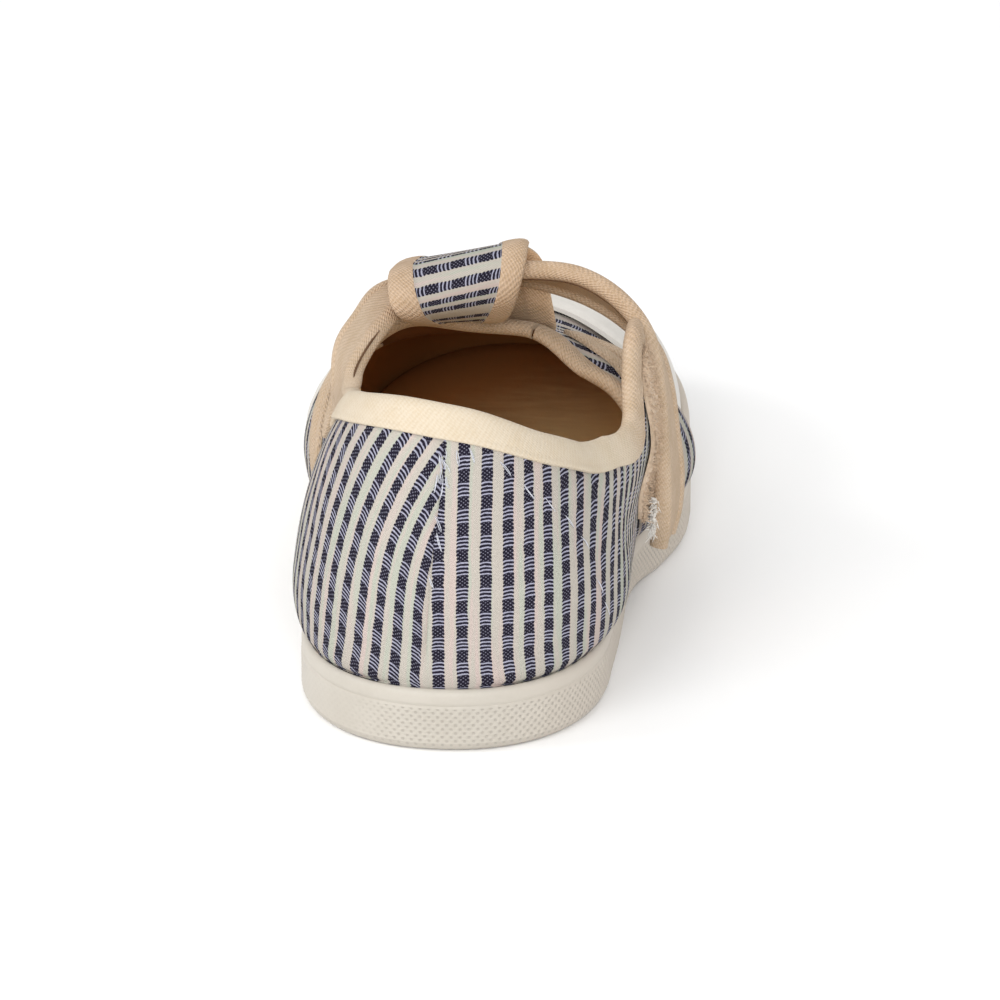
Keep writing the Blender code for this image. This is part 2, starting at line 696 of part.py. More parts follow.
def make_upper(opening, lateral, medial):
    """Canvas upper: one wall from toe to heel, open above and below, two cut-outs."""
    sides, s = rib_stations(4.1, 3.4)
    base = to_chart(sides, s, np.full(len(s), 1.0))
    verts, faces = sheet(base, [opening, lateral, medial], wall_places(), 0.0, -UPPER_WALL)
    piece("upper", verts, faces, CANVAS, 0.9, 50.0)


def make_bindings(opening, lateral, medial):
    """Twill tape folded over the canvas's cut edges."""
    points = face(opening)

    def nearest(place):
        return int(np.argmin(((points - np.array(place)) ** 2).sum(1)))

    count = len(opening)
    joint = nearest(THROAT_JOINT)

    def stretch(first, last):
        span = (last - first) % count
        return opening[[(first + k) % count for k in range(span + 1)]]

    rear = stretch(nearest(STRAP_ROOT_REAR), joint)
    front = stretch(joint, nearest(STRAP_ROOT_FRONT))
    front[0] += (front[1] - front[0]) * 0.2
    runs = (("collar_binding", rear, COLLAR_BINDING_DEPTH),
            ("throat_binding", front, THROAT_BINDING_DEPTH))
    for name, loop, depth in runs:
        verts, faces = sweep(binding(loop, False, depth, turning(opening)), False)
        piece(name, verts, faces, CREAM, 0.9, 50.0)
    for name, loop in (("cutout_binding_lateral", lateral), ("cutout_binding_medial", medial)):
        verts, faces = sweep(binding(loop, True, CUTOUT_BINDING_DEPTH, turning(loop)), True)
        piece(name, verts, faces, CREAM, 0.9, 50.0)


def make_toe_cap():
    """Rubber cap over the front of the vamp."""
    sides, s = rib_stations(4.1, 3.4)
    ahead = s > TOE_CAP_REAR_SIDE
    sides, s = sides[ahead], s[ahead]
    base_y = to_chart(sides, s, np.ones(len(s)))[:, 1]
    low = to_chart(sides, s, share_at_height(sides, s, lip(base_y) + 1.5))
    t = np.linspace(-1, 1, 25)[1:-1]
    start, end = low[-1], low[0]
    rear_x = start[0] + (end[0] - start[0]) * (t + 1) / 2
    rear_y = TOE_CAP_REAR_CENTRE + (low[0][1] - TOE_CAP_REAR_CENTRE) * np.abs(t) ** 2.2
    outline = np.vstack([low, np.column_stack([rear_x, rear_y])])
    verts, faces = sheet(outline, [], wall_places(), WRAP_GAP + TOE_CAP_THICKNESS, WRAP_GAP)
    piece("toe_cap", verts, faces, RUBBER, 0.5, 40.0)


def make_strap():
    """Closing strap: root on the medial quarter, through the T-bar, down the lateral side."""
    rows = curve(STRAP, 29, False)
    body = ribbon(rows[:, :3], rows[:, 3:], STRAP_THICKNESS, STRAP_RIM, RIM_RAISE)
    verts, faces = sweep(body, False)
    piece("strap", verts, faces, CREAM, 0.9, 45.0)


def make_fastener():
    """Hook tape inside the strap's end and loop tape on the quarter that it closes on."""
    rows = curve(STRAP, 81, False)[HOOK_ROWS[0]:HOOK_ROWS[1]:5]
    rear, front = rows[:, :3], rows[:, 3:]
    across = unit(front - rear)
    up = unit(np.cross(across, np.gradient((rear + front) / 2, axis=0)))
    near = STRAP_THICKNESS / 2 + GAP
    far = near + PATCH_THICKNESS
    body = np.stack([rear + across * HOOK_INSET + up * near, front - across * HOOK_INSET + up * near,
                     front - across * HOOK_INSET + up * far, rear + across * HOOK_INSET + up * far], 1)
    verts, faces = sweep(body, False)
    piece("hook_tape", verts, faces, FLEECE, 0.95, 45.0)
    outline = curve(place_on_face(LOOP_TAPE), 26, True)
    verts, faces = sheet(outline, [], wall_places(), WRAP_GAP + PATCH_THICKNESS, WRAP_GAP)
    piece("loop_tape", verts, faces, FLEECE, 0.95, 45.0)


def make_t_bar():
    """Strip from the vamp over the strap and back down behind the throat."""
    rows = curve(T_BAR, 30, False)
    y, z, centre, half, skew, roll = rows.T
    medial = np.column_stack([centre - half, y - skew, z - roll])
    lateral = np.column_stack([centre + half, y + skew, z + roll])
    body = ribbon(medial, lateral, T_BAR_THICKNESS, T_BAR_RIM, RIM_RAISE)
    verts, faces = sweep(body, False)
    piece("t_bar", verts, faces, CANVAS, 0.9, 45.0)


def main():
    """Build every piece, centred over its own bounds and standing on z = 0."""
    for old in list(bpy.data.objects):
        bpy.data.objects.remove(old, do_unlink=True)
    opening, lateral, medial = edge_loops()
    make_outsole()
    make_insole()
    make_upper(opening, lateral, medial)
    make_bindings(opening, lateral, medial)
    make_toe_cap()
    make_strap()
    make_fastener()
    make_t_bar()
    everything = np.vstack([p[1] for p in pieces])
    low, high = everything.min(0), everything.max(0)
    shift = np.array([-(low[0] + high[0]) / 2, -(low[1] + high[1]) / 2, -low[2]])
    for name, verts, faces, colour, roughness, sharp in pieces:
        add_object(name, verts, faces, colour, roughness, sharp, shift)


main()
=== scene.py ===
"""Looks of the child's T-bar canvas shoe: fine meshes, woven stripes, tape, rubber and fluff.

Lengths are in millimetres until a mesh is written. Heel at -Y, toe at +Y, lateral side at +X.
"""
import json
import math

import bpy
import numpy as np
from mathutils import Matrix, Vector
from mathutils.geometry import delaunay_2d_cdt
from mathutils.kdtree import KDTree

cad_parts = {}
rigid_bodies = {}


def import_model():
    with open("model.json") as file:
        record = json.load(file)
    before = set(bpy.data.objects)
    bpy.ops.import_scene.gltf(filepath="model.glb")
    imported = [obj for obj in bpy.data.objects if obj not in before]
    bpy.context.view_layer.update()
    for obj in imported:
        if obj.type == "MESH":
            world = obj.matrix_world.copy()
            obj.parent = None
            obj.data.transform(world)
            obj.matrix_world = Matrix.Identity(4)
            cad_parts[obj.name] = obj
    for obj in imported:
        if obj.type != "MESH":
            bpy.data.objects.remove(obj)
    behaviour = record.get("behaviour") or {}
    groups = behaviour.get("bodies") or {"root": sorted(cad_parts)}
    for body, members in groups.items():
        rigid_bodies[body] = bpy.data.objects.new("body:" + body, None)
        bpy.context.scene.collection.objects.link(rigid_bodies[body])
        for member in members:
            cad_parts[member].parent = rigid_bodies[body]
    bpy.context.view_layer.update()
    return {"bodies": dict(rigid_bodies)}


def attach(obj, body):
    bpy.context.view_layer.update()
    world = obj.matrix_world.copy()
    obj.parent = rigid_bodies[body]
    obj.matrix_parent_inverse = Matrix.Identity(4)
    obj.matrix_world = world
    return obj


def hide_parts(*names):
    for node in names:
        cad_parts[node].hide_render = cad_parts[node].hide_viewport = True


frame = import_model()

MM = 0.001
TURN = 2 * math.pi
SHIFT = np.array([0.687, -83.0, 0.0])
GAP = 0.3
BODY = sorted(frame["bodies"])[0]
rng = np.random.default_rng(7)

# ---- the shoe's shape, as in the CAD ----
SOLE_LENGTH = 166.0
HEEL_CENTRE = 30.0
TOE_CENTRE = 114.0
SPINE_HEEL_X = -1.7
SPINE_TOE_X = -2.0
HEEL_ROUND = 2.18
TOE_ROUND_LATERAL = 2.05
TOE_ROUND_MEDIAL = 2.3
SOLE_PLAN = (
    (30, 22.9, 26.3), (45, 23.2, 26.2), (58, 23.2, 26.7), (70, 24.8, 28.7), (81, 27.8, 31),
    (93, 30.5, 33), (104, 30.8, 34), (114, 29.8, 34.3),
)
FOXING_THICKNESS = 2.1
FLOOR_HEEL = 7.0
FLOOR_BALL = 5.0
LIP_HEEL = 10.4
LIP_TOE = 15.0
TOE_SPRING = 4.5
SPRING_START = 116.0
ARCH_LIFT = 1.2
LIP_LINE_DROP = 2.75
LAST = (
    (0, 66, 66, 3.6, 3.6, 2, 2, 0), (15, 59, 60, 3.2, 3.1, 4.4, 3.8, 0),
    (30, 54, 55, 3, 2.8, 5.6, 3.4, 0.4), (42, 64, 53, 3.8, 2.8, 5, 2, 1.8),
    (50, 80, 53, 5, 2.9, 4.2, 1.9, 3), (58, 74, 53, 4.6, 3, 4.2, 2.3, 2.8),
    (66, 49, 49, 3, 3, 5.6, 3, 0.8), (76, 44.2, 44.2, 2.9, 3.1, 7.2, 3.6, 0),
    (86, 40.2, 40.2, 2.6, 2.9, 7, 4.2, 0), (93, 37.8, 37.8, 2.32, 2.7, 5.2, 3.8, 0),
    (102, 35.3, 35.3, 2.08, 2.5, 3, 3, 0), (114, 33, 33, 2.02, 2.4, 0.8, 1.2, 0),
    (140, 33, 33, 2.2, 2.3, 0.8, 1, 0), (166, 33, 33, 2.2, 2.2, 0.8, 0.8, 0),
)
FULL_SPAN = 60.0
FLARE_SPAN = 50.0
INSOLE_THICKNESS = 2.6
SOCK_INSET = 5.0
WRAP_GAP = 0.75
FOOT_OPENING = (
    (-1.5, 6, 53), (9.5, 8.4, 49.8), (16.5, 15.5, 45.6), (20.4, 24, 41.8), (22.2, 32, 39.8),
    (23.6, 38, 39.6), (24.6, 42, 42.6), (24.8, 45, 47.6), (24.4, 50.2, 52), (24.4, 55.8, 50.8),
    (25, 58.8, 45), (24.6, 60.2, 37.5), (25.2, 60.6, 32.2), (25, 62.6, 30.2), (23.4, 64.6, 31.8),
    (18, 68, 37), (10.5, 74, 42), (0, 76.6, 44), (-9, 75.4, 43.8), (-17, 70.6, 41),
    (-23, 65.4, 36.4), (-26.4, 62.4, 32), (-26.8, 60.4, 33), (-25.8, 58.6, 37), (-24.2, 57, 41),
    (-22, 52, 42.8), (-20.2, 44, 43.8), (-19, 37, 44.8), (-18, 30, 46.4), (-16.2, 20, 49.6),
    (-10.6, 10.4, 52.6),
)
CUTOUT_LATERAL = (
    (12.6, 81.6, 38.2), (19.2, 76, 35), (26, 70, 29), (28.6, 67, 23.6), (30, 69.4, 22),
    (29.6, 74.6, 25.4), (24, 80.6, 32), (16, 84.6, 36.8),
)
CUTOUT_MEDIAL = (
    (-19.6, 80, 38), (-24.6, 75, 34.6), (-28, 69.6, 29), (-29.2, 66.8, 24.4), (-30.6, 68.4, 23),
    (-31, 73, 26.6), (-27.6, 78.6, 33), (-22, 83, 36.8),
)
TOE_CAP_REAR_CENTRE = 116.0
TOE_CAP_REAR_SIDE = 97.0
TOE_CAP_THICKNESS = 1.3
BINDING_THICKNESS = 0.8
THROAT_JOINT = (7.0, 75.6, 43.0)
STRAP_ROOT_REAR = (-18.8, 36.4, 44.8)
STRAP_ROOT_FRONT = (-23.6, 56.0, 40.4)
COLLAR_BINDING_DEPTH = 3.8
THROAT_BINDING_DEPTH = 3.2
CUTOUT_BINDING_DEPTH = 2.4
STRAP = (
    (-18.9, 37.4, 46, -24.5, 57.6, 42.4), (-18.7, 41.6, 48.2, -23.6, 60.6, 44.9),
    (-16.7, 47.6, 50.9, -21.4, 64.8, 48.4), (-13.5, 55, 53.2, -18.4, 70.2, 51.4),
    (-8.6, 59.8, 56.2, -11, 75.2, 52), (-1, 61.8, 57.6, -2, 77.2, 52.9),
    (7.5, 62.4, 58.6, 7.2, 76.6, 51.4), (15, 61.8, 58.2, 15.3, 75, 49.3),
    (21.6, 60, 54.9, 21.6, 73.8, 46), (26.2, 57.8, 49.2, 26.4, 72.6, 41.6),
    (28, 55.4, 41, 28.6, 71, 36.4), (28.7, 53.4, 33, 29.8, 69.4, 29.4),
    (29.2, 52.6, 25.4, 30.7, 68.6, 22.8), (29.1, 52.8, 18.6, 30.5, 68.2, 17),
    (28.4, 55, 13.8, 29.6, 65.8, 13.2),
)
STRAP_THICKNESS = 2.0
STRAP_RIM = 2.4
RIM_RAISE = 0.35
T_BAR = (
    (98, 37.9, -4, 12, 0, 0), (92, 39.7, -3.4, 11.8, 0, 0), (86.5, 41.5, -2.7, 11.9, 0.4, 0),
    (82.6, 45.6, -2.7, 11.6, 1, 0.2), (80, 52.8, -3.6, 11, 1.6, 0.6),
    (74.4, 56.3, -5, 10.1, 2.4, 1.1), (67.6, 58.5, -4.8, 10.9, 3.2, 1.7),
    (61, 59.7, -4.5, 11, 3.9, 1.8), (56.6, 57.5, -4.2, 10.5, 4.4, 1.6),
    (56.4, 54.4, -4.1, 9.5, 3.9, 1), (60, 51.4, -4.1, 8.5, 2.2, 0.6), (64.6, 49, -4.2, 7.4, 1, 0.2),
    (70.6, 47.5, -4.1, 6.4, 0.2, 0), (75.2, 46.7, -4, 6.2, 0, 0),
)
T_BAR_THICKNESS = 1.4
T_BAR_RIM = 4.3
HOOK_ROWS = (252, 351)       # of the strap's STRAP_ROWS
HOOK_INSET = 3.6
HOOK_MARGIN = 0.8
HOOK_FIBRES = 2400
LOOP_FIBRES = 2600
STRAP_ROWS = 361
RIBBON_STEPS = 26
LOOP_TAPE = (
    (24.4, 47.8, 48.3), (24.4, 54.6, 48), (25, 55.4, 42), (26.4, 54.6, 32), (26.8, 54.8, 22),
    (26.6, 46.6, 22), (26.3, 46.2, 32), (25, 46.6, 42),
)
RIB_STEPS = 120
TAB_LEAN = 2.8               # the fastening tab leans this far out towards the strap
# the throat's soft edges, lateral below its form and medial above: rise, x, half width, y, half length
THROAT_EDGES = ((-2.8, 15.0, 6.3, 72.5, 6.0), (1.7, -13.0, 8.0, 73.0, 6.5))
CLOTH = 1.2                  # canvas and lining together, as seen
MEDIAL_FLAG = 700.0          # added to the block count of the medial quarter
DOT_PITCH = 1.4
DOT_ROW = 0.66
KNURL_TOP = 3.2             # below the lip's top
KNURL_DEPTH = 0.24
KNURL_ROWS = 34
LIP_OVERLAP = 1.15          # how far the canvas stands out over the rubber's lip
SEAM_STEP = 0.42            # the lateral quarter's overlap at the heel seam
SEAM_GROOVE = 0.3
SEAM_WIDTH = 0.3
SEAM_LEVELS = np.linspace(12.6, 50.0, 90)
# rows and radius of the dark lines painted as shadow under the strap's rear rim and along its root
UNDER_SHADOW_ROWS = slice(100, 238, 2)  # of the strap's STRAP_ROWS
SLIT_SHADOW_ROWS = slice(4, 48, 2)
SHADOW_LINE_RADIUS = 0.2
# sizes of the meshes' steps
EDGE_STEP = 0.8
SOLE_STEP = 0.25
SOCK_STEP = 1.2
CLOTH_MESH = 0.56
CAP_MESH = 0.7
PAD_MESH = 0.5


# ---- small numeric helpers ----
def unit(vectors):
    """Rows of an array scaled to length one."""
    length = np.linalg.norm(vectors, axis=-1, keepdims=True)
    return vectors / np.maximum(length, 1e-9)


def soft(t):
    """Smooth step from 0 to 1 for a share that may run past both."""
    t = np.clip(t, 0, 1)
    return t * t * (3 - 2 * t)


def smooth(rows, x):
    """Smooth curve through rows (x, value...): every column after the first, at x."""
    rows = np.asarray(rows, float)
    knots, values = rows[:, 0], rows[:, 1:]
    x = np.clip(np.asarray(x, float), knots[0], knots[-1])
    steps = np.diff(knots)[:, None]
    slopes = np.diff(values, axis=0) / steps
    inner = (slopes[:-1] * steps[1:] + slopes[1:] * steps[:-1]) / (steps[1:] + steps[:-1])
    inner = np.where(slopes[:-1] * slopes[1:] <= 0, 0.0, inner)
    tangents = np.vstack([slopes[:1] * 0, inner, slopes[-1:] * 0])
    i = np.clip(np.searchsorted(knots, x, side="right") - 1, 0, len(knots) - 2)
    h = knots[i + 1] - knots[i]
    t = ((x - knots[i]) / h)[..., None]
    h = h[..., None]
    return ((2 * t**3 - 3 * t**2 + 1) * values[i] + (t**3 - 2 * t**2 + t) * h * tangents[i]
            + (-2 * t**3 + 3 * t**2) * values[i + 1] + (t**3 - t**2) * h * tangents[i + 1])


def curve(points, count, closed):
    """Catmull-Rom curve through points, resampled at count even steps."""
    p = np.asarray(points, float)
    p = np.vstack([p[-1:], p, p[:2]] if closed else [2 * p[:1] - p[1:2], p, 2 * p[-1:] - p[-2:-1]])
    t = np.linspace(0, 1, 13)[:-1, None]
    parts = []
    for p0, p1, p2, p3 in zip(p, p[1:], p[2:], p[3:]):
        parts.append(0.5 * (2 * p1 + (p2 - p0) * t + (2 * p0 - 5 * p1 + 4 * p2 - p3) * t**2
                            + (3 * p1 - p0 - 3 * p2 + p3) * t**3))
    fine = np.vstack(parts + [p[-2:-1]])
    run = arc(fine)
    at = np.linspace(0, run[-1], count + 1)[:-1] if closed else np.linspace(0, run[-1], count)
    return np.column_stack([np.interp(at, run, column) for column in fine.T])


def arc(points):
    """Distance run along a row of points."""
    return np.concatenate([[0], np.cumsum(np.linalg.norm(np.diff(points, axis=0), axis=1))])


# ---- plan of the sole ----
def spine_x(y):
    t = np.clip((y - HEEL_CENTRE) / (TOE_CENTRE - HEEL_CENTRE), 0, 1)
    return SPINE_HEEL_X + (SPINE_TOE_X - SPINE_HEEL_X) * t


def rib_frame(side, s):
    """Foot and direction, in plan, of the rib at station s of one side (+1 lateral)."""
    y = np.clip(s, HEEL_CENTRE, TOE_CENTRE)
    turn = np.where(s < HEEL_CENTRE, s / HEEL_CENTRE, (SOLE_LENGTH - s) / (SOLE_LENGTH - TOE_CENTRE))
    turn = np.clip(turn, 0, 1) * math.pi / 2
    ahead = np.where(s < HEEL_CENTRE, -np.cos(turn), np.cos(turn))
    straight = (s >= HEEL_CENTRE) & (s <= TOE_CENTRE)
    dx = side * np.where(straight, 1.0, np.sin(turn))
    dy = np.where(straight, 0.0, ahead)
    return np.stack([spine_x(y), y], -1), np.stack([dx, dy], -1)


def sole_reach(side, s):
    """Distance from the centre line to the sole's edge along a rib."""
    y = np.clip(s, HEEL_CENTRE, TOE_CENTRE)
    both = smooth(SOLE_PLAN, y)
    half = np.where(side > 0, both[..., 0] - spine_x(y), both[..., 1] + spine_x(y))
    way = np.abs(rib_frame(side, s)[1])
    heel = s < HEEL_CENTRE
    power = np.where(heel, HEEL_ROUND, np.where(side > 0, TOE_ROUND_LATERAL, TOE_ROUND_MEDIAL))
    depth = np.where(heel, HEEL_CENTRE, SOLE_LENGTH - TOE_CENTRE)
    fan = ((way[..., 0] / half) ** power + (way[..., 1] / depth) ** power) ** (-1 / power)
    return np.where(heel | (s > TOE_CENTRE), fan, half)


def spring(y):
    return TOE_SPRING * np.clip((y - SPRING_START) / (SOLE_LENGTH - SPRING_START), 0, 1) ** 2


def ground(y):
    waist = np.clip((y - 50.0) / 34.0, 0, 1)
    return spring(y) + ARCH_LIFT * np.sin(math.pi * waist) ** 2


def floor(y):
    return FLOOR_HEEL + (FLOOR_BALL - FLOOR_HEEL) * soft((y - 50.0) / 45.0) + spring(y)


def lip(y):
    return LIP_HEEL + (LIP_TOE - LIP_HEEL) * soft((y - 90.0) / 60.0)


# ---- outer face of the upper ----
def rib_profile(side, s):
    """Plan reach and height down a rib, crown to sole, crowded towards both ends."""
    columns = smooth(LAST, s)
    lateral = np.asarray(side > 0)[..., None]
    crown, power, full = (np.where(lateral, columns[..., k:k + 1], columns[..., k + 1:k + 2])
                          for k in (0, 2, 4))
    origin, direction = rib_frame(side, s)
    reach = (sole_reach(side, s) - FOXING_THICKNESS - GAP)[..., None]
    base_y = origin[..., 1:] + direction[..., 1:] * reach
    base = floor(base_y) + GAP
    top = lip(base_y)
    even = np.linspace(0, 1, RIB_STEPS)
    corner = 2 ** (1 - 1 / power)
    across = corner * np.minimum(even, 0.5)
    fall = corner * np.minimum(1 - even, 0.5)
    out = np.where(even < 0.5, across, (1 - fall**power) ** (1 / power))
    down = np.where(even < 0.5, (1 - across**power) ** (1 / power), fall)
    z = base + (crown - base) * down
    level = np.clip((z - top - 0.8) / FULL_SPAN, 0, 1) ** 0.38
    flare = np.where(lateral, columns[..., 6:], 0.0) * soft((z - top) / FLARE_SPAN)
    swell = (full * np.sin(math.pi * level) ** 2 + flare) * np.minimum(out * 1.6, 1)
    return reach * out + swell, z


def to_rib(q):
    """Chart place to (side, station, share of the way from crown to sole)."""
    x, y = q[..., 0], q[..., 1]
    mid = np.clip(y, HEEL_CENTRE, TOE_CENTRE)
    dx = x - spine_x(mid)
    dy = y - mid
    side = np.where(dx >= 0, 1.0, -1.0)
    turn = np.arctan2(np.abs(dx), np.abs(dy)) / (math.pi / 2)
    s = np.where(y < HEEL_CENTRE, HEEL_CENTRE * turn,
                 np.where(y > TOE_CENTRE, SOLE_LENGTH - (SOLE_LENGTH - TOE_CENTRE) * turn, y))
    return side, s, np.hypot(dx, dy) / sole_reach(side, s)


def to_chart(side, s, share):
    """Place on the chart: the sole's plan, each rib unrolled to fill it."""
    origin, direction = rib_frame(side, s)
    return origin + direction * (sole_reach(side, s) * share)[..., None]


def face(q):
    """Chart places to points on the upper's outer face."""
    q = np.asarray(q, float)
    side, s, share = to_rib(q)
    out, z = rib_profile(side, s)
    run = np.cumsum(np.hypot(np.diff(out, axis=-1), np.diff(z, axis=-1)), axis=-1)
    run = np.concatenate([np.zeros(run.shape[:-1] + (1,)), run], -1)
    want = np.clip(share, 0, 1.0) * run[..., -1]
    k = np.clip((run < want[..., None]).sum(-1), 1, RIB_STEPS - 1)[..., None]
    lo = np.take_along_axis(run, k - 1, -1)
    t = (want[..., None] - lo) / np.maximum(np.take_along_axis(run, k, -1) - lo, 1e-9)
    reach, height = (np.take_along_axis(values, k - 1, -1) * (1 - t) + np.take_along_axis(values, k, -1) * t
                     for values in (out, z))
    origin, direction = rib_frame(side, s)
    plan = origin + direction * reach
    for rise, x, wide, y, deep in THROAT_EDGES:
        height = height + rise * np.exp(-((plan[..., :1] - x) / wide)**2 - ((plan[..., 1:] - y) / deep)**2)
    return np.concatenate([plan, height], -1)


def normal(q):
    """Outward normal of the upper's face."""
    q = np.asarray(q, float)
    step = 0.35
    along_x = face(q + [step, 0]) - face(q - [step, 0])
    way = np.where(q[..., 1:] < TOE_CENTRE, 1, -1)
    along_y = (face(q + np.array([0.0, 1.0]) * way * step) - face(q)) * way
    return unit(np.cross(along_x, along_y))


def tab_lean(points):
    """How far the tab of the lateral quarter leans out towards the strap."""
    x, y, z = points[..., 0], points[..., 1], points[..., 2]
    most = TAB_LEAN - 1.7 * np.clip((z - 38.0) / 13.0, 0, 1)
    ramps = ((z - 24.0) / 12.0, (y - 21.0) / 15.0, (63.0 - y) / 9.0)
    return most * np.prod([soft(ramp) for ramp in ramps], axis=0) * (x > 5)


def shell(q, offset):
    """Points at an offset outside the upper's face."""
    points = face(q)
    return points + normal(q) * (np.asarray(offset, float) + tab_lean(points))[..., None]


def chart_grid(side, s, share):
    """Chart places of one side at every pair of a station and a share."""
    s, share = np.meshgrid(s, share, indexing="ij")
    return to_chart(np.full(s.shape, side), s, share)


CHARTS = np.concatenate([chart_grid(side, np.linspace(0, SOLE_LENGTH, 327), np.linspace(0.02, 1, 90))
                         for side in (1.0, -1.0)]).reshape(-1, 2)
CHART_FACES = face(CHARTS)


def place_on_face(points):
    """Chart places of the face's points nearest to the given places."""
    points = np.asarray(points, float)
    q = np.array([CHARTS[np.argmin(((CHART_FACES - p) ** 2).sum(1))] for p in points])
    step = 0.05
    for _ in range(6):
        here = face(q)
        dx = (face(q + [step, 0]) - here) / step
        dy = (face(q + [0, step]) - here) / step
        miss = points - here
        a, b, d = (dx * dx).sum(1), (dx * dy).sum(1), (dy * dy).sum(1)
        e, f = (dx * miss).sum(1), (dy * miss).sum(1)
        det = a * d - b * b + 1e-6
        move = np.column_stack([(d * e - b * f) / det, (a * f - b * e) / det])
        q = q + np.clip(move, -0.3, 0.3)
    return q


def bisect(low, high, short):
    """Narrow spans round the places where a test stops holding."""
    for _ in range(24):
        mid = (low + high) / 2
        more = short(mid)
        low, high = np.where(more, mid, low), np.where(more, high, mid)
    return low, high


def share_at_height(side, s, height):
    """Share of a rib at which it comes down to a height."""
    above = lambda share: face(to_chart(side, s, share))[..., 2] > height
    return sum(bisect(np.zeros_like(s), np.ones_like(s), above)) / 2


def stations(step):
    """Stations round the whole plan: lateral heel to toe, then medial toe to heel."""
    one = np.concatenate([np.arange(0, HEEL_CENTRE, step)] + [
        np.linspace(start, end, int((end - start) / step) + 1)[skip:]
        for start, end, skip in ((HEEL_CENTRE, TOE_CENTRE, 0), (TOE_CENTRE, SOLE_LENGTH, 1))])
    sides = np.concatenate([np.ones(len(one)), -np.ones(len(one) - 2)])
    return sides, np.concatenate([one, one[-2:0:-1]])


# ---- mesh building ----
def add_piece(name, verts, faces, material, nodes=(), uv=None, sharp=50.0):
    """Make one piece from millimetres; uv holds one pair for each corner of each face."""
    mesh = bpy.data.meshes.new(name)
    mesh.from_pydata(((np.asarray(verts, float) + SHIFT) * MM).tolist(), [], faces)
    if uv is not None:
        layer = mesh.uv_layers.new(name="weave")
        layer.data.foreach_set("uv", np.asarray(uv, np.float32).ravel())
    mesh.validate()
    mesh.shade_smooth()
    mesh.set_sharp_from_angle(angle=math.radians(sharp))
    mesh.materials.append(material)
    body = bpy.data.objects.new(name, mesh)
    bpy.context.scene.collection.objects.link(body)
    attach(body, BODY)
    if nodes:
        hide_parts(*nodes)
    return body


def ring_faces(rings, count, closed_rings):
    """Quads between consecutive rings of count points."""
    faces = []
    for r in range(rings if closed_rings else rings - 1):
        a = r * count
        b = ((r + 1) % rings) * count
        for k in range(count):
            n = (k + 1) % count
            faces.append((a + k, a + n, b + n, b + k))
    return faces


def inside(loop, q):
    """Which chart places lie inside a loop."""
    result = np.zeros(len(q), bool)
    a, b = loop, np.roll(loop, -1, axis=0)
    dy = np.where(b[:, 1] == a[:, 1], 1e-12, b[:, 1] - a[:, 1])
    for start in range(0, len(q), 4000):
        x, y = q[start:start + 4000, :1], q[start:start + 4000, 1:]
        crosses = (a[:, 1] > y) != (b[:, 1] > y)
        at = (b[:, 0] - a[:, 0]) * (y - a[:, 1]) / dy + a[:, 0]
        result[start:start + 4000] = ((crosses & (x < at)).sum(1) % 2) == 1
    return result


def within_region(outline, holes, q):
    """Which chart places lie inside an outline and in none of its holes."""
    good = inside(outline, q)
    for hole in holes:
        good &= ~inside(hole, q)
    return good


def distance_to(points, q):
    """Distance of chart places from the nearest of some points."""
    tree = KDTree(len(points))
    for k, p in enumerate(points):
        tree.insert((p[0], p[1], 0), k)
    tree.balance()
    return np.array([tree.find((p[0], p[1], 0))[2] for p in q])


def triangulate(outline, holes, step, lines=()):
    """Fine triangles over a region of the chart: places, triangles and boundary edges.

    Lines are rows of places the triangles must follow.
    """
    loops = [outline] + holes
    low, high = outline.min(0), outline.max(0)
    ys = np.arange(low[1], high[1], step * 0.866)
    gx, gy = np.meshgrid(np.arange(low[0], high[0], step), ys)
    gx = gx + (np.arange(len(ys))[:, None] % 2) * step / 2
    fill = np.column_stack([gx.ravel(), gy.ravel()])
    fill = fill[within_region(outline, holes, fill)]
    rows = loops + list(lines)
    fill = fill[distance_to(np.vstack(rows), fill) > step * 0.6]
    edges = []
    start = 0
    for k, row in enumerate(rows):
        n = len(row)
        closed = k < len(loops)
        edges += [(start + i, start + (i + 1) % n) for i in range(n if closed else n - 1)]
        start += n
    kept = edges[:sum(len(loop) for loop in loops)]
    points = [Vector(p) for p in np.vstack(rows + [fill]).tolist()]
    flat, _, triangles, _, _, _ = delaunay_2d_cdt(points, edges, [], 0, 1e-7)
    flat = np.array([tuple(p) for p in flat])
    triangles = np.array([tuple(t) for t in triangles])
    return flat, triangles[within_region(outline, holes, flat[triangles].mean(1))], kept


def wall(flat, triangles, edges, outer, inner):
    """Closed wall of two layers, given as offsets from the face, over the same triangles."""
    count = len(flat)
    verts = np.vstack([shell(flat, outer), shell(flat, np.full(count, inner))])
    faces = [tuple(t) for t in triangles] + [tuple(t + count) for t in triangles[:, ::-1]]
    faces += [(b, a, a + count, b + count) for a, b in edges]
    return verts, faces


def turning(loop):
    """+1 for a loop that runs anticlockwise, -1 for one that runs clockwise."""
    ahead = np.roll(loop, -1, axis=0)
    return 1.0 if (loop[:, 0] * ahead[:, 1] - ahead[:, 0] * loop[:, 1]).sum() > 0 else -1.0


def add_sweep(name, sections, closed, material, node, sharp=50.0):
    """Piece through cross-sections (stations, points, 3), with uv along and around."""
    stops, count, _ = sections.shape
    faces = ring_faces(stops, count, closed)
    centre, middle = sections.mean(1), sections[stops // 2]
    along, girth = arc(np.vstack([centre, centre[:1]])), arc(np.vstack([middle, middle[:1]]))
    uv = []
    for r in range(stops if closed else stops - 1):
        for k in range(count):
            uv += [(along[r], girth[k]), (along[r], girth[k + 1]),
                   (along[r + 1], girth[k + 1]), (along[r + 1], girth[k])]
    if not closed:
        for r in (0, stops - 1):
            faces.append(tuple(r * count + k for k in (range(count) if r else reversed(range(count)))))
            uv += [(along[r], 0.0)] * count
    return add_piece(name, sections.reshape(-1, 3), faces, material, (node,), uv, sharp)


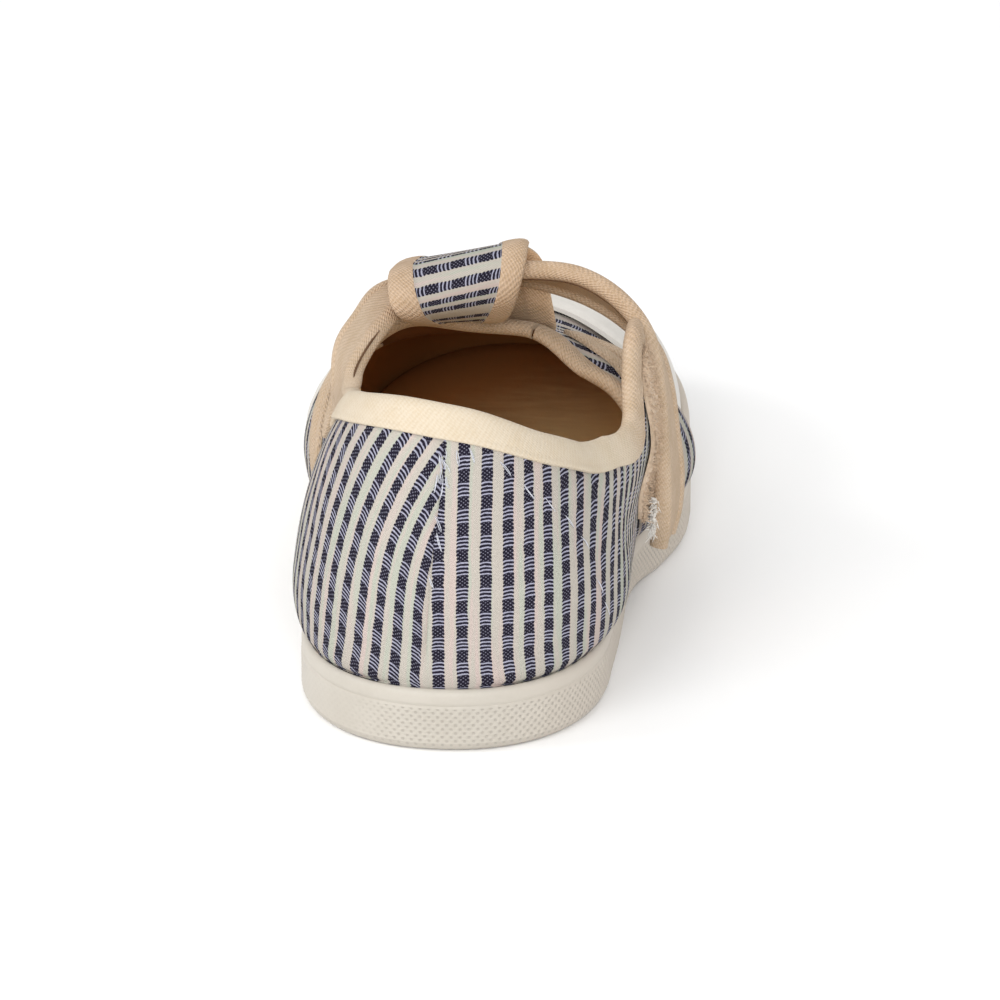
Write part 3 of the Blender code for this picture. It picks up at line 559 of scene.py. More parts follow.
def tubes(paths, radius, sides):
    """Thin round threads along many short paths, one mesh."""
    verts, faces = [], []
    angle = np.arange(sides) * TURN / sides
    base = 0
    for path in paths:
        along = unit(np.gradient(path, axis=0))
        helper = np.where(np.abs(along[:, 2:]) < 0.8, [[0.0, 0.0, 1.0]], [[1.0, 0.0, 0.0]])
        a = unit(np.cross(along, helper))
        b = np.cross(along, a)
        n = len(path)
        taper = np.minimum(1.0, 0.35 + 3.0 * np.minimum(np.arange(n), np.arange(n)[::-1]) / (n - 1))
        way = a[:, None] * np.cos(angle)[:, None] + b[:, None] * np.sin(angle)[:, None]
        ring = path[:, None] + way * (radius * taper)[:, None, None]
        verts.append(ring.reshape(-1, 3))
        faces += [tuple(base + v for v in quad) for quad in ring_faces(n, sides, False)]
        faces.append(tuple(base + k for k in reversed(range(sides))))
        base += n * sides
        faces.append(tuple(base - sides + k for k in range(sides)))
    return np.vstack(verts), faces


# ---- materials ----
def operation(name):
    """A method that adds a math node with the wire as its first input."""
    return lambda self, *others: self.nodes.maths(name, self, *others)


class Wire:
    """Output of a node; arithmetic on it adds math nodes."""

    __add__ = operation("ADD")
    __sub__ = operation("SUBTRACT")
    __mul__ = operation("MULTIPLY")
    __truediv__ = operation("DIVIDE")
    __abs__ = operation("ABSOLUTE")
    above = operation("GREATER_THAN")
    cosine = operation("COSINE")
    largest = operation("MAXIMUM")
    rounded = operation("ROUND")
    scaled = operation("MULTIPLY_ADD")

    def __init__(self, nodes, socket):
        self.nodes = nodes
        self.socket = socket

    def __rsub__(self, other):
        return self.nodes.maths("SUBTRACT", other, self)

    def ramp(self, low, high):
        """0 below low, 1 above high, smooth between."""
        node = self.nodes.new("ShaderNodeMapRange", {"Value": self, "From Min": low, "From Max": high},
                              interpolation_type="SMOOTHSTEP")
        return self.nodes.wire(node, 0)


class Nodes:
    """Short way to write a node material."""

    def __init__(self, name):
        self.material = bpy.data.materials.new(name)
        self.material.use_nodes = True
        self.tree = self.material.node_tree
        self.shader = self.tree.nodes["Principled BSDF"]
        self.here = None

    def plug(self, node, inputs):
        """Link wires to a node's inputs, or set them to numbers and colours."""
        for key, value in inputs.items():
            if isinstance(value, Wire):
                self.tree.links.new(value.socket, node.inputs[key])
            else:
                node.inputs[key].default_value = value

    def new(self, kind, inputs, **settings):
        node = self.tree.nodes.new(kind)
        for key, value in settings.items():
            setattr(node, key, value)
        self.plug(node, inputs)
        return node

    def wire(self, node, output):
        return Wire(self, node.outputs[output])

    def maths(self, name, *values):
        return self.wire(self.new("ShaderNodeMath", dict(enumerate(values)), operation=name), 0)

    def mix(self, factor, a, b):
        a, b = (x if isinstance(x, Wire) else (*x, 1.0) for x in (a, b))
        return self.wire(self.new("ShaderNodeMix", {0: factor, 6: a, 7: b}, data_type="RGBA",
                                  clamp_factor=True), 2)

    def layers(self, colour, *coats):
        """A colour with others laid over it, each by its own factor."""
        for factor, coat in coats:
            colour = self.mix(factor, colour, coat)
        return colour

    def split(self, vector, kind="XYZ"):
        node = self.new("ShaderNodeSeparate" + kind, {0: vector})
        return [self.wire(node, k) for k in range(3)]

    def place(self):
        """Object coordinates in millimetres."""
        if self.here is None:
            spot = self.wire(self.new("ShaderNodeTexCoord", {}), "Object")
            self.here = self.wire(self.new("ShaderNodeVectorMath", {0: spot, "Scale": 1 / MM},
                                           operation="SCALE"), 0)
        return self.here

    def weave(self):
        """The piece's own coordinates along and across its cloth."""
        return self.split(self.wire(self.new("ShaderNodeUVMap", {}, uv_map="weave"), 0))[:2]

    def noise(self, scale, detail=3.0, roughness=0.55, vector=None, output="Fac"):
        inputs = {"Vector": vector or self.place(), "Scale": scale, "Detail": detail, "Roughness": roughness}
        return self.wire(self.new("ShaderNodeTexNoise", inputs), output)

    def finish(self, colour, roughness, height=None, strength=0.5, distance=0.1, sheen=0.0):
        self.plug(self.shader, {"Base Color": colour, "Roughness": roughness,
                                "Specular IOR Level": 0.3 if roughness < 0.7 else 0.12})
        if sheen:
            self.plug(self.shader, {"Sheen Weight": sheen, "Sheen Roughness": 0.6})
        if height is not None:
            bump = self.new("ShaderNodeBump", {"Strength": strength, "Distance": distance * MM,
                                               "Height": height})
            self.plug(self.shader, {"Normal": self.wire(bump, 0)})
        return self.material


def canvas_material():
    """Cream cloth with navy stripes: three white weft lines, then a block of light dots, over and over."""
    m = Nodes("canvas_striped")
    u, v = m.weave()
    count = u + m.noise(0.45, 2.0).scaled(0.12, -0.06)
    index = count.rounded()
    du = count - index
    pick = m.wire(m.new("ShaderNodeTexWhiteNoise", {"W": index + 0.31}, noise_dimensions="1D"), 0)
    lean = v.above(MEDIAL_FLAG / 2).scaled(1.9, (pick - 0.5) * 1.5)
    row = v * 7.0 + lean * du + (du * du * 3.5 + m.noise(1.3, 2.0).scaled(0.5, -0.25))
    between = abs(row - (row / 7.0).rounded() * 7.0).ramp(1.45, 1.6)
    line = abs(row - row.rounded()).ramp(0.30, 0.08)
    dot = ((du * (TURN / 0.19)).cosine() * (row * TURN).cosine()).ramp(0.25, 0.95) * 0.42
    light = between * 0.78 * line + (1.0 - between) * dot
    ragged = (row * TURN).cosine() * 0.018 + m.noise(3.2, 2.0).scaled(0.07, -0.035)
    band = (abs(du) + ragged).ramp(0.258, 0.228)
    streak = m.wire(m.new("ShaderNodeCombineXYZ", {0: count * 2.6, 1: v * 0.12}), 0)
    pink, green, _ = m.split(m.noise(1.0, 2.0, vector=streak, output="Color"), "Color")
    cream = m.layers((0.455, 0.418, 0.368), (pink.ramp(0.48, 0.62), (0.50, 0.414, 0.378)),
                     (green.ramp(0.5, 0.64), (0.415, 0.425, 0.36)))
    weave = (count * (TURN * 10.5)).cosine() * (v * (TURN * 12.0)).cosine()
    shade = weave.scaled(0.035, 0.90) + m.noise(4.0, 3.0, 0.6) * 0.2
    cream = m.wire(m.new("ShaderNodeVectorMath", {0: cream, "Scale": shade}, operation="SCALE"), 0)
    cream = m.mix(m.noise(2.4, 2.0, 0.5).ramp(0.72, 0.78) * 0.5, cream, (0.34, 0.25, 0.22))
    navy = m.mix(m.noise(1.6), (0.005, 0.0045, 0.009), (0.020, 0.016, 0.032))
    white = m.mix(m.noise(2.0, 2.0), (0.34, 0.34, 0.45), (0.56, 0.56, 0.67))
    height = weave * 0.5 + band * light.scaled(1.0, -0.4)
    return m.finish(m.mix(band, cream, m.mix(light, navy, white)), 0.95, height, 0.55, 0.16)


def plain_material(name, dark, light, roughness, scale, strength=0.4, distance=0.1, sheen=0.0):
    """Two close tones in soft patches, with a fine grain."""
    m = Nodes(name)
    fine = m.noise(scale, 4.0, 0.6)
    tone = fine.scaled(0.4, m.noise(scale * 0.12) * 0.6).ramp(0.3, 0.7)
    return m.finish(m.mix(tone, dark, light), roughness, fine, strength, distance, sheen)


def tape_material(name, shaded_tans):
    """Cotton tape: small staggered grains, cream at the heel, turned tan by painted shade towards the top
    and front of the shoe.
    """
    m = Nodes(name)
    u, v = m.weave()
    _, ahead, high = m.split(m.place())
    warp = m.noise(0.8, 2.0).scaled(0.6, u / 0.80)
    weft = m.noise(0.9, 2.0).scaled(0.5, v / 0.78)
    grains = ((warp + weft * 0.5) * TURN).cosine() * (weft * TURN).cosine()
    fine = m.noise(3.5, 3.0, 0.6)
    ahead = ahead.ramp(-62.0, -40.0)
    # tan: painted shade, rising towards the top of the shoe and ahead of the heel
    tan = high.ramp(44.0, 54.0).largest(ahead * 0.75) * ahead
    height = fine.scaled(0.5, grains * tan.scaled(0.8, 0.2))
    light = m.mix(tan, (0.595, 0.515, 0.405), shaded_tans[0])
    dark = m.mix(tan, (0.55, 0.455, 0.33), shaded_tans[1])
    tone = grains * 0.14 + (fine * 0.5 + m.noise(0.3) * 0.5)
    return m.finish(m.mix(tone.ramp(0.28, 0.66), dark, light), 0.95, height, 0.6, 0.2, 0.05)


def sole_material():
    """Off-white rubber with rows of small pits low on its side, painted shade darkening the pits and painted
    light lightening both sides.
    """
    m = Nodes("sole_rubber_knurled")
    u, v = m.weave()
    across = m.split(m.place())[0]
    lattice = (u * (TURN / DOT_PITCH)).cosine() * ((v - KNURL_TOP) / DOT_ROW * math.pi).cosine()
    zone = v.ramp(KNURL_TOP - 0.3, KNURL_TOP + 0.1) * v.ramp(KNURL_TOP + 6.6, KNURL_TOP + 6.0)
    # pit: the knurl's pits, used for their bump and for the painted shade in them
    pit = zone * across.ramp(-16.0, -6.0).scaled(0.85, 0.15) * lattice.ramp(0.15, 0.75)
    fine = m.noise(1.2, 4.0, 0.6)
    tone = fine.scaled(0.3, m.noise(0.12) * 0.7).ramp(0.3, 0.7)
    # painted light: lighter towards the medial and lateral sides; painted shade: grey in the pits
    colour = m.layers((0.45, 0.415, 0.36), (tone, (0.485, 0.45, 0.395)),
                      (across.ramp(-14.0, -30.0), (0.56, 0.52, 0.46)),
                      (across.ramp(4.0, 30.0), (0.56, 0.50, 0.43)), (pit * 0.6, (0.34, 0.31, 0.27)))
    return m.finish(colour, 0.5, fine.scaled(0.15, pit * -1.0), 0.35, 0.15)


def sock_material():
    """Brushed tan sock; painted shade darkens it deep in, high inside and towards the toe, and a painted
    pool of golden light lies on the lateral wall near the collar.
    """
    m = Nodes("sock_lining")
    x, y, z = m.split(m.place())
    stretched = m.wire(m.new("ShaderNodeVectorMath", {0: m.place(), 1: (0.25, 1.0, 1.0)},
                             operation="MULTIPLY"), 0)
    brushed = m.noise(0.6, 4.0, 0.6, vector=stretched)
    ahead = x.scaled(-0.9, y)
    # painted shade: high inside towards the front, and deeper into the shoe
    shade_under_upper = z.ramp(16.0, 30.0) * y.ramp(-24.0, 0.0)
    depth = brushed.scaled(16.0, ahead).ramp(34.0, 80.0).largest(shade_under_upper * 0.95)
    # painted shade darkens deep in and towards the toe; painted golden light on the lateral wall near the
    # collar; painted shade high at the front
    colour = m.layers((1.0, 0.72, 0.35), (depth, (0.48, 0.20, 0.06)),
                      (ahead.ramp(66.0, 96.0), (0.20, 0.075, 0.022)),
                      (x.ramp(4.0, 22.0) * y.ramp(-16.0, -42.0), (1.0, 0.86, 0.52)),
                      (z.ramp(27.0, 36.0) * y.ramp(-24.0, -14.0), (0.13, 0.05, 0.018)))
    return m.finish(colour, 0.92, m.noise(3.0), 0.4, 0.12)


CANVAS = canvas_material()
# the two tones given are the tape's colours under painted shade
TAPE = tape_material("twill_tape", ((0.555, 0.41, 0.29), (0.44, 0.305, 0.19)))
# a warmer, darker copy of the tape: painted shade for the T-bar's underside
TAPE_SHADED = tape_material("twill_tape_painted_shade", ((0.70, 0.46, 0.275), (0.56, 0.34, 0.18)))
SOLE = sole_material()
TOE_RUBBER = plain_material("toe_rubber", (0.66, 0.63, 0.58), (0.73, 0.70, 0.65), 0.45, 1.2, 0.1, 0.1)
SOCK = sock_material()
FLUFF = plain_material("hook_and_loop", (0.47, 0.34, 0.225), (0.70, 0.555, 0.415), 0.9, 2.0, 0.6, 0.2, 0.2)
HOOK_WHITE = plain_material("hook_fibre", (0.80, 0.77, 0.72), (0.93, 0.91, 0.87), 0.8, 2.0, 0.3, 0.1, 0.1)
# dark brown lines painted as shadow in the strap's grooves
SHADOW_LINE = plain_material("painted_shadow_line", (0.10, 0.055, 0.03), (0.15, 0.085, 0.05), 0.95, 2.0, 0.3, 0.05)
THREAD = plain_material("thread", (0.46, 0.47, 0.52), (0.62, 0.63, 0.68), 0.8, 3.0, 0.3, 0.05)


# ---- sole and insole ----
class Plan:
    """The sole's edge seen from above: stations, ribs and the run round it in whole dots."""

    def __init__(self, step):
        self.sides, self.s = stations(step)
        self.origin, self.direction = rib_frame(self.sides, self.s)
        self.reach = sole_reach(self.sides, self.s)
        self.edge = self.origin + self.direction * self.reach[:, None]
        run = arc(np.vstack([self.edge, self.edge[:1]]))
        self.run = run * round(run[-1] / DOT_PITCH) * DOT_PITCH / run[-1]

    def rings(self, table):
        """Rings of rows (inset, height as a function of y, lift)."""
        rings = []
        for inset, height, lift in table:
            xy = self.origin + self.direction * (self.reach - inset)[:, None]
            rings.append(np.column_stack([xy, height(xy[:, 1]) + lift]))
        return np.array(rings)

    def close(self, rings):
        """Body of rings whose first and last are filled along the spine."""
        count = len(self.s)
        verts = list(rings.reshape(-1, 3))
        faces = ring_faces(len(rings), count, False)
        mid = np.clip(self.s, HEEL_CENTRE, TOE_CENTRE)
        for ring in (0, len(rings) - 1):
            spine = {}
            for k, y in enumerate(mid):
                if y not in spine:
                    spine[y] = len(verts)
                    verts.append(np.array([spine_x(y), y, rings[ring, k, 2]]))
            for k in range(count):
                n = (k + 1) % count
                a, b = (k, n) if ring else (n, k)
                rim = (ring * count + a, ring * count + b)
                near, far = spine[mid[b]], spine[mid[a]]
                faces.append(rim + ((near,) if near == far else (near, far)))
        return np.array(verts), faces


def ease(s, rear, toe):
    """A length that changes from one at the heel to another beside the toe cap."""
    return rear + (toe - rear) * soft((s - 80.0) / 13.0)


def knurl(plan, below):
    """Inset of the foxing's staggered pits at a height given as a drop below the lip."""
    row = (below - KNURL_TOP) / DOT_ROW
    lattice = np.cos(plan.run[:-1] * TURN / DOT_PITCH) * math.cos(math.pi * row)
    pit = np.clip((lattice - 0.1) / 0.7, 0, 1)
    fade = smooth(((-60.0, 0.1), (-17.0, 0.15), (-7.0, 1.0), (40.0, 1.0)), plan.edge[:, 0])[:, 0]
    return 0.06 + KNURL_DEPTH * pit * fade


def make_outsole():
    plan = Plan(SOLE_STEP)
    table = [(plan.reach * 0.5, ground, 0.0)]
    table += [(inset, ground, rise) for inset, rise in (
        (3.2, 0.0), (2.0, 0.0), (1.3, 0.12), (0.75, 0.42), (0.38, 0.85), (0.15, 1.4))]
    for share in np.linspace(0, 1, KNURL_ROWS):
        table.append((knurl(plan, KNURL_TOP + (1 - share) * (LIP_HEEL - KNURL_TOP - 1.5)),
                      lambda y, t=share: (ground(y) + 1.5) * (1 - t) + (lip(y) - KNURL_TOP) * t, 0.0))
    table += [(inset, lip, -LIP_LINE_DROP + rise) for inset, rise in (
        (0.1, -0.3), (0.3, -0.05), (0.3, 0.1), (0.10, 0.4))]
    table += [(inset, lip, -drop) for inset, drop in (
        (0.08, 2.2), (0.10, 1.2), (0.20, 0.7), (0.42, 0.35), (0.72, 0.12), (0.98, 0.04),
        (ease(plan.s, 1.12, 1.8), 0.1), (ease(plan.s, 1.2, 2.0), 0.5), (FOXING_THICKNESS, 0.95))]
    table += [(inset, floor, 0.0) for inset in (FOXING_THICKNESS, SOCK_INSET, plan.reach * 0.6)]
    rings = plan.rings(table)
    verts, faces = plan.close(rings)
    drop = lip(rings[..., 1]) - rings[..., 2]
    drop = np.concatenate([drop, drop[:, :1]], axis=1)
    uv = np.empty((len(rings) - 1, len(plan.s), 4, 2))
    for corner, ahead, down in ((0, 0, 0), (1, 1, 0), (2, 1, 1), (3, 0, 1)):
        uv[:, :, corner, 0] = plan.run[ahead:][:len(plan.s)]
        uv[:, :, corner, 1] = drop[down:, ahead:][:len(rings) - 1, :len(plan.s)]
    rest = sum(len(f) for f in faces) - uv.size // 2
    uv = np.vstack([uv.reshape(-1, 2), np.zeros((rest, 2))])
    add_piece("outsole_rubber", verts, faces, SOLE, ("outsole",), uv=uv, sharp=60)


def make_insole():
    plan = Plan(SOCK_STEP)
    top = INSOLE_THICKNESS
    table = [(plan.reach * 0.6, floor, GAP)]
    table += [(SOCK_INSET + inset, floor, rise) for inset, rise in (
        (0.0, GAP), (0.1, top - 0.9), (0.5, top - 0.25), (1.2, top), (4.0, top - 0.2), (8.0, top - 0.5))]
    table.append((plan.reach * 0.6, floor, top - 0.6))
    verts, faces = plan.close(plan.rings(table))
    add_piece("insole_sock", verts, faces, SOCK, ("insole",))


# ---- cloth coordinates on the upper ----
QUARTER_END = 66.0
LEVELS = np.arange(4.0, 72.0, 2.0)
ARC_S = np.arange(0.0, 120.5, 1.0)


def level_arcs():
    """Distance round the face from the heel's centre line, by side, station and height."""
    arcs = {}
    for side in (1.0, -1.0):
        rows = []
        for rib in face(chart_grid(side, ARC_S, np.linspace(0.05, 1.0, 60))):
            x, y, z = rib[np.argsort(rib[:, 2])].T
            rows.append(np.column_stack([np.interp(LEVELS, z, x), np.interp(LEVELS, z, y)]))
        steps = np.linalg.norm(np.diff(rows, axis=0), axis=-1)
        arcs[side] = np.vstack([np.zeros((1, len(LEVELS))), np.cumsum(steps, axis=0)])
    return arcs


ARCS = level_arcs()


def arc_at(side, s, z):
    """Distance round the face at a height, positive on the lateral side."""
    i = np.clip(s, 0, ARC_S[-1] - 0.001)
    j = np.clip((z - LEVELS[0]) / (LEVELS[1] - LEVELS[0]), 0, len(LEVELS) - 1.001)
    a, b = i.astype(int), j.astype(int)
    ti, tj = i - a, j - b
    result = np.zeros(s.shape)
    for value in (1.0, -1.0):
        grid = ARCS[value]
        mixed = ((grid[a, b] * (1 - ti) + grid[a + 1, b] * ti) * (1 - tj)
                 + (grid[a, b + 1] * (1 - ti) + grid[a + 1, b + 1] * ti) * tj)
        result = np.where(side == value, mixed * value, result)
    return result


BLOCK_PITCH = 4.08
BLOCK_PHASE = 32.5           # height of a block's centre at the heel
STRIPE_FRONT = 3.6           # stripe pitch of the vamp and the T-bar
STRIPE_LATERAL = 3.75        # of the lateral quarter near the heel seam
STRIPE_MEDIAL = 3.05
STRIPES_DRAWN = 36.0         # the lateral stripes draw together up to this far from the heel


def cloth(q, points, lateral, vamp):
    """Stripe count and block count at places of the upper; flags say which panel each is in."""
    side, s, share = to_rib(q)
    z = points[:, 2]
    run = arc_at(side, s, z)
    near = np.minimum(run, STRIPES_DRAWN)
    spread = 0.085 * (near / 33.0)**4 * (np.clip(z - 20.0, 0, None) / 10.0)**2
    shift = near - near / (1 + 0.45 * (1 - np.exp(-spread / 0.45)))
    level = run - shift * (1 - 0.5 * soft((run - STRIPES_DRAWN) / 30.0))
    stripe_lateral = (level - 0.1) / STRIPE_LATERAL + 0.00095 * np.minimum(level, STRIPES_DRAWN)**2
    stripe_lateral += np.clip(level - STRIPES_DRAWN, 0, None) * 0.068
    rise = z - 23.0
    lean = np.where(rise > 0, 0.08 * rise + 0.0085 * rise**2, 0.15 * rise * np.clip(-run / 15.0, 0.3, 1.2))
    lean = lean * (1 + soft((rise - 5.0) / 14.0) * (np.clip(1.25 + run / 60.0, 0.6, 1.3) - 1))
    stripe_medial = (run - lean) / STRIPE_MEDIAL
    block_lateral = (z - BLOCK_PHASE) / BLOCK_PITCH
    block_medial = (z + 0.347 * (run - lean) - 42.5) / 4.2 + MEDIAL_FLAG
    centre = points[:, 0] - spine_x(q[:, 1])
    across = np.sign(centre) * share * 1.6 * sole_reach(side, s)
    quarter = np.column_stack([np.where(lateral, stripe_lateral, stripe_medial),
                               np.where(lateral, block_lateral, block_medial)])
    front = np.column_stack([q[:, 1] / STRIPE_FRONT + 0.5, across / BLOCK_PITCH])
    return np.where(vamp[:, None], front, quarter)


# ---- upper ----
def calmed(loop):
    """Foot opening with the collar behind the tab run smooth."""
    reach = np.arange(-24, 25)
    weight = np.exp(-(reach / 9.0) ** 2)
    weight /= weight.sum()
    blurred = sum(w * np.roll(loop, -k, axis=0) for k, w in zip(reach, weight))
    blend = np.clip((40.0 - loop[:, 1]) / 8.0, 0.12, 1)[:, None]
    return loop * (1 - blend) + blurred * blend


OPENING = calmed(curve(place_on_face(FOOT_OPENING), 460, True))
OPENING_POINTS = face(OPENING)
HOLE_LATERAL = curve(place_on_face(CUTOUT_LATERAL), 120, True)
HOLE_MEDIAL = curve(place_on_face(CUTOUT_MEDIAL), 120, True)


def seam_place(z):
    """Distance of the heel seam from the heel's centre line at a height."""
    return smooth(((8.0, -2.6), (20.0, -1.7), (30.0, -1.1), (48.0, 0.6)), z)[..., 0]


def chart_at(run, z):
    """Chart places at distances round the face from the heel's centre line and at heights."""
    run, z = np.broadcast_arrays(np.asarray(run, float), np.asarray(z, float))
    side = np.where(run >= 0, 1.0, -1.0)
    s, _ = bisect(np.zeros(run.shape), np.full(run.shape, ARC_S[-1] - 0.01),
                  lambda s: arc_at(side, s, z) * side <= np.abs(run))
    return to_chart(side, s, share_at_height(side, s, z))


def ripple(points):
    """Soft hollows and swells of the worn cloth."""
    x, y, z = points.T
    return (0.16 * np.sin(0.23 * y + 0.11 * z + 0.6) * np.sin(0.17 * z - 0.08 * y + 1.1)
            + 0.08 * np.sin(0.41 * x + 0.37 * z) * np.sin(0.33 * y + 0.9))


def cloth_offset(flat, points):
    """How far the canvas stands off the last: full over the rubber's lip, stepped at the heel seam."""
    side, s, _ = to_rib(flat)
    rise = points[:, 2] - lip(to_chart(side, s, np.ones(len(s)))[:, 1])
    over_lip = np.where(rise > 0, np.exp(-(rise / 4.0) ** 2), soft(rise / 0.9 + 1))
    over_lip = LIP_OVERLAP * over_lip * ease(s, 1.0, 0.0)
    beyond = arc_at(side, s, points[:, 2]) - seam_place(points[:, 2])
    high = np.clip((points[:, 2] - 12.0) / 6.0, 0, 1)
    step = SEAM_STEP * np.clip(beyond / SEAM_WIDTH, 0, 1) * np.exp(-np.clip(beyond, 0, None) / 4.0) * high
    groove = -SEAM_GROOVE * np.exp(-((beyond + 0.15) / 0.45) ** 2) * high
    return over_lip + step + groove + ripple(points) * np.clip((rise - 1.0) / 6.0, 0, 1)


def make_upper():
    sides, s = stations(EDGE_STEP)
    base = to_chart(sides, s, np.ones(len(s)))
    lines = []
    for rise in (-0.9, -0.45, 0.0, 0.6, 1.4, 2.4):
        row = to_chart(sides, s, share_at_height(sides, s, lip(base[:, 1]) + rise))
        lines.append(np.vstack([row, row[:1] + 1e-3]))
    for gap in (0.0, SEAM_WIDTH):
        lines.append(chart_at(seam_place(SEAM_LEVELS) + gap, SEAM_LEVELS))
    flat, triangles, edges = triangulate(base, [OPENING, HOLE_LATERAL, HOLE_MEDIAL], CLOTH_MESH, lines)
    outer = face(flat)
    verts, faces = wall(flat, triangles, edges, cloth_offset(flat, outer), -CLOTH)
    height = outer[triangles].mean(1)[:, 2]
    side, s, _ = to_rib(flat[triangles].mean(1))
    lateral = arc_at(side, s, height) - seam_place(height) > 0
    corners = triangles.ravel()
    uv = cloth(flat[corners], outer[corners], np.repeat(lateral, 3), np.repeat(s > QUARTER_END, 3))
    uv_inner = uv.reshape(-1, 3, 2)[:, ::-1].reshape(-1, 2)
    uv = np.vstack([uv, uv_inner, np.zeros((4 * len(edges), 2))])
    body = add_piece("upper_canvas", verts, faces, CANVAS, ("upper",), uv=uv)
    # the lining and cut edges take the sock's material, with its painted shade and painted light
    body.data.materials.append(SOCK)
    index = np.zeros(len(faces), np.int32)
    index[len(triangles):] = 1
    body.data.polygons.foreach_set("material_index", index)


# ---- tape over the cut edges ----
def edge_frame(loop, closed, turn):
    """Along an edge of the upper: way in on the chart, its scale, points, and axes up and over."""
    if closed:
        along = np.roll(loop, -1, axis=0) - np.roll(loop, 1, axis=0)
    else:
        along = np.gradient(loop, axis=0)
    along = unit(along)
    into = np.stack([along[:, 1], -along[:, 0]], -1) * turn
    probe = 0.5
    on_face, within = (shell(places, np.zeros(len(loop))) for places in (loop, loop + into * probe))
    scale = np.linalg.norm(within - on_face, axis=1) / probe
    up = normal(loop)
    over = np.cross(unit(np.gradient(on_face, axis=0)), up)
    over = unit(np.where(((over * (on_face - within)).sum(1) > 0)[:, None], over, -over))
    return into, scale, on_face, up, over


def nearest(place):
    """Index of the foot opening's point closest to a place."""
    return int(np.argmin(((OPENING_POINTS - np.array(place)) ** 2).sum(1)))


def binding(loop, closed, depth, turn, inner=0.8):
    """U-shaped tape over an edge of the upper, finely rounded; inner is the share of it folded inside."""
    into, scale, on_face, up, over = edge_frame(loop, closed, turn)
    n = len(loop)
    low = shell(loop, np.full(n, -CLOTH))
    near, far, back = 0.15, 0.95, 0.5
    fold = WRAP_GAP + BINDING_THICKNESS

    def at(share, offset):
        return shell(loop + into * (depth * share / scale)[:, None], np.full(n, offset))

    ring = [at(1.0, near), at(1.0, near + 0.35)]
    ring += [at(share, far + rise) for share, rise in (
        (0.985, -0.22), (0.95, -0.1), (0.88, -0.03), (0.78, -0.02), (0.7, -0.1), (0.62, -0.02),
        (0.45, 0.02), (0.25, 0.04))]
    mid = (on_face + low) / 2 + up * (far - back) / 2
    half = (CLOTH + far + back) / 2
    for angle in np.radians((90, 70, 50, 30, 10, -10, -30, -50, -70, -90)):
        ring.append(mid + up * math.sin(angle) * half + over * math.cos(angle) * (fold + 0.2))
    ring += [at(share * inner, -CLOTH - back + rise) for share, rise in (
        (0.3, 0.0), (0.62, 0.02), (0.8, 0.05), (0.95, 0.12), (1.0, 0.2), (1.0, 0.4))]
    ring += [low - up * near + over * GAP, on_face + up * near + over * GAP, at(0.5, near)]
    return np.stack(ring, 1)


def make_bindings():
    count = len(OPENING)

    def stretch(first, last):
        span = (last - first) % count
        return OPENING[[(first + k) % count for k in range(span + 1)]]

    joint = nearest(THROAT_JOINT)
    rear = stretch(nearest(STRAP_ROOT_REAR), joint)
    front = stretch(joint, nearest(STRAP_ROOT_FRONT))[1:]
    past = (face(rear)[:, 1] - 57.0) / 6.0 * (face(rear)[:, 0] > 0)
    past = np.maximum.accumulate(np.clip(past, 0, 1))
    collar_depth = COLLAR_BINDING_DEPTH - 1.7 * soft(past)
    for name, node, loop, depth, inner in (
            ("collar_tape", "collar_binding", rear, collar_depth, 0.8),
            ("throat_tape", "throat_binding", front, THROAT_BINDING_DEPTH, 0.4),
            ("cutout_tape_lateral", "cutout_binding_lateral", HOLE_LATERAL, CUTOUT_BINDING_DEPTH, 0.25),
            ("cutout_tape_medial", "cutout_binding_medial", HOLE_MEDIAL, CUTOUT_BINDING_DEPTH, 0.25)):
        closed = name.startswith("cutout")
        turn = turning(loop if closed else OPENING)
        add_sweep(name, binding(loop, closed, depth, turn, inner), closed, TAPE, node, 60)


# ---- toe cap ----
def make_toe_cap():
    sides, s = stations(EDGE_STEP)
    ahead = s > TOE_CAP_REAR_SIDE
    sides, s = sides[ahead], s[ahead]
    base_y = to_chart(sides, s, np.ones(len(s)))[:, 1]
    drop = np.zeros(len(s))
    for _ in range(5):
        low = to_chart(sides, s, share_at_height(sides, s, lip(base_y) + drop))
        rim = shell(low, np.full(len(s), WRAP_GAP + 0.7))
        drop = np.clip(drop - (rim[:, 2] - lip(rim[:, 1]) - 0.05), -3.0, 1.0)
    t = np.linspace(-1, 1, 121)[1:-1]
    start, end = low[-1], low[0]
    rear_x = start[0] + (end[0] - start[0]) * (t + 1) / 2
    rear_y = TOE_CAP_REAR_CENTRE + (low[0][1] - TOE_CAP_REAR_CENTRE) * np.abs(t) ** 2.2
    outline = np.vstack([low, np.column_stack([rear_x, rear_y])])
    flat, triangles, edges = triangulate(outline, [], CAP_MESH)
    round_over = np.clip(distance_to(outline, flat) / 0.9, 0, 1)
    thick = TOE_CAP_THICKNESS - 0.45 * (1 - round_over) ** 2 - 0.12
    verts, faces = wall(flat, triangles, edges, WRAP_GAP + thick, WRAP_GAP)
    add_piece("toe_cap_rubber", verts, faces, TOE_RUBBER, ("toe_cap",))


# ---- strap, T-bar and fastener ----
def ribbon_axes(rear, front):
    """Ways across and up from a strip between two edge curves, and its width."""
    across = unit(front - rear)
    up = unit(np.cross(across, np.gradient((rear + front) / 2, axis=0)))
    return across, up, np.linalg.norm(front - rear, axis=1, keepdims=True)


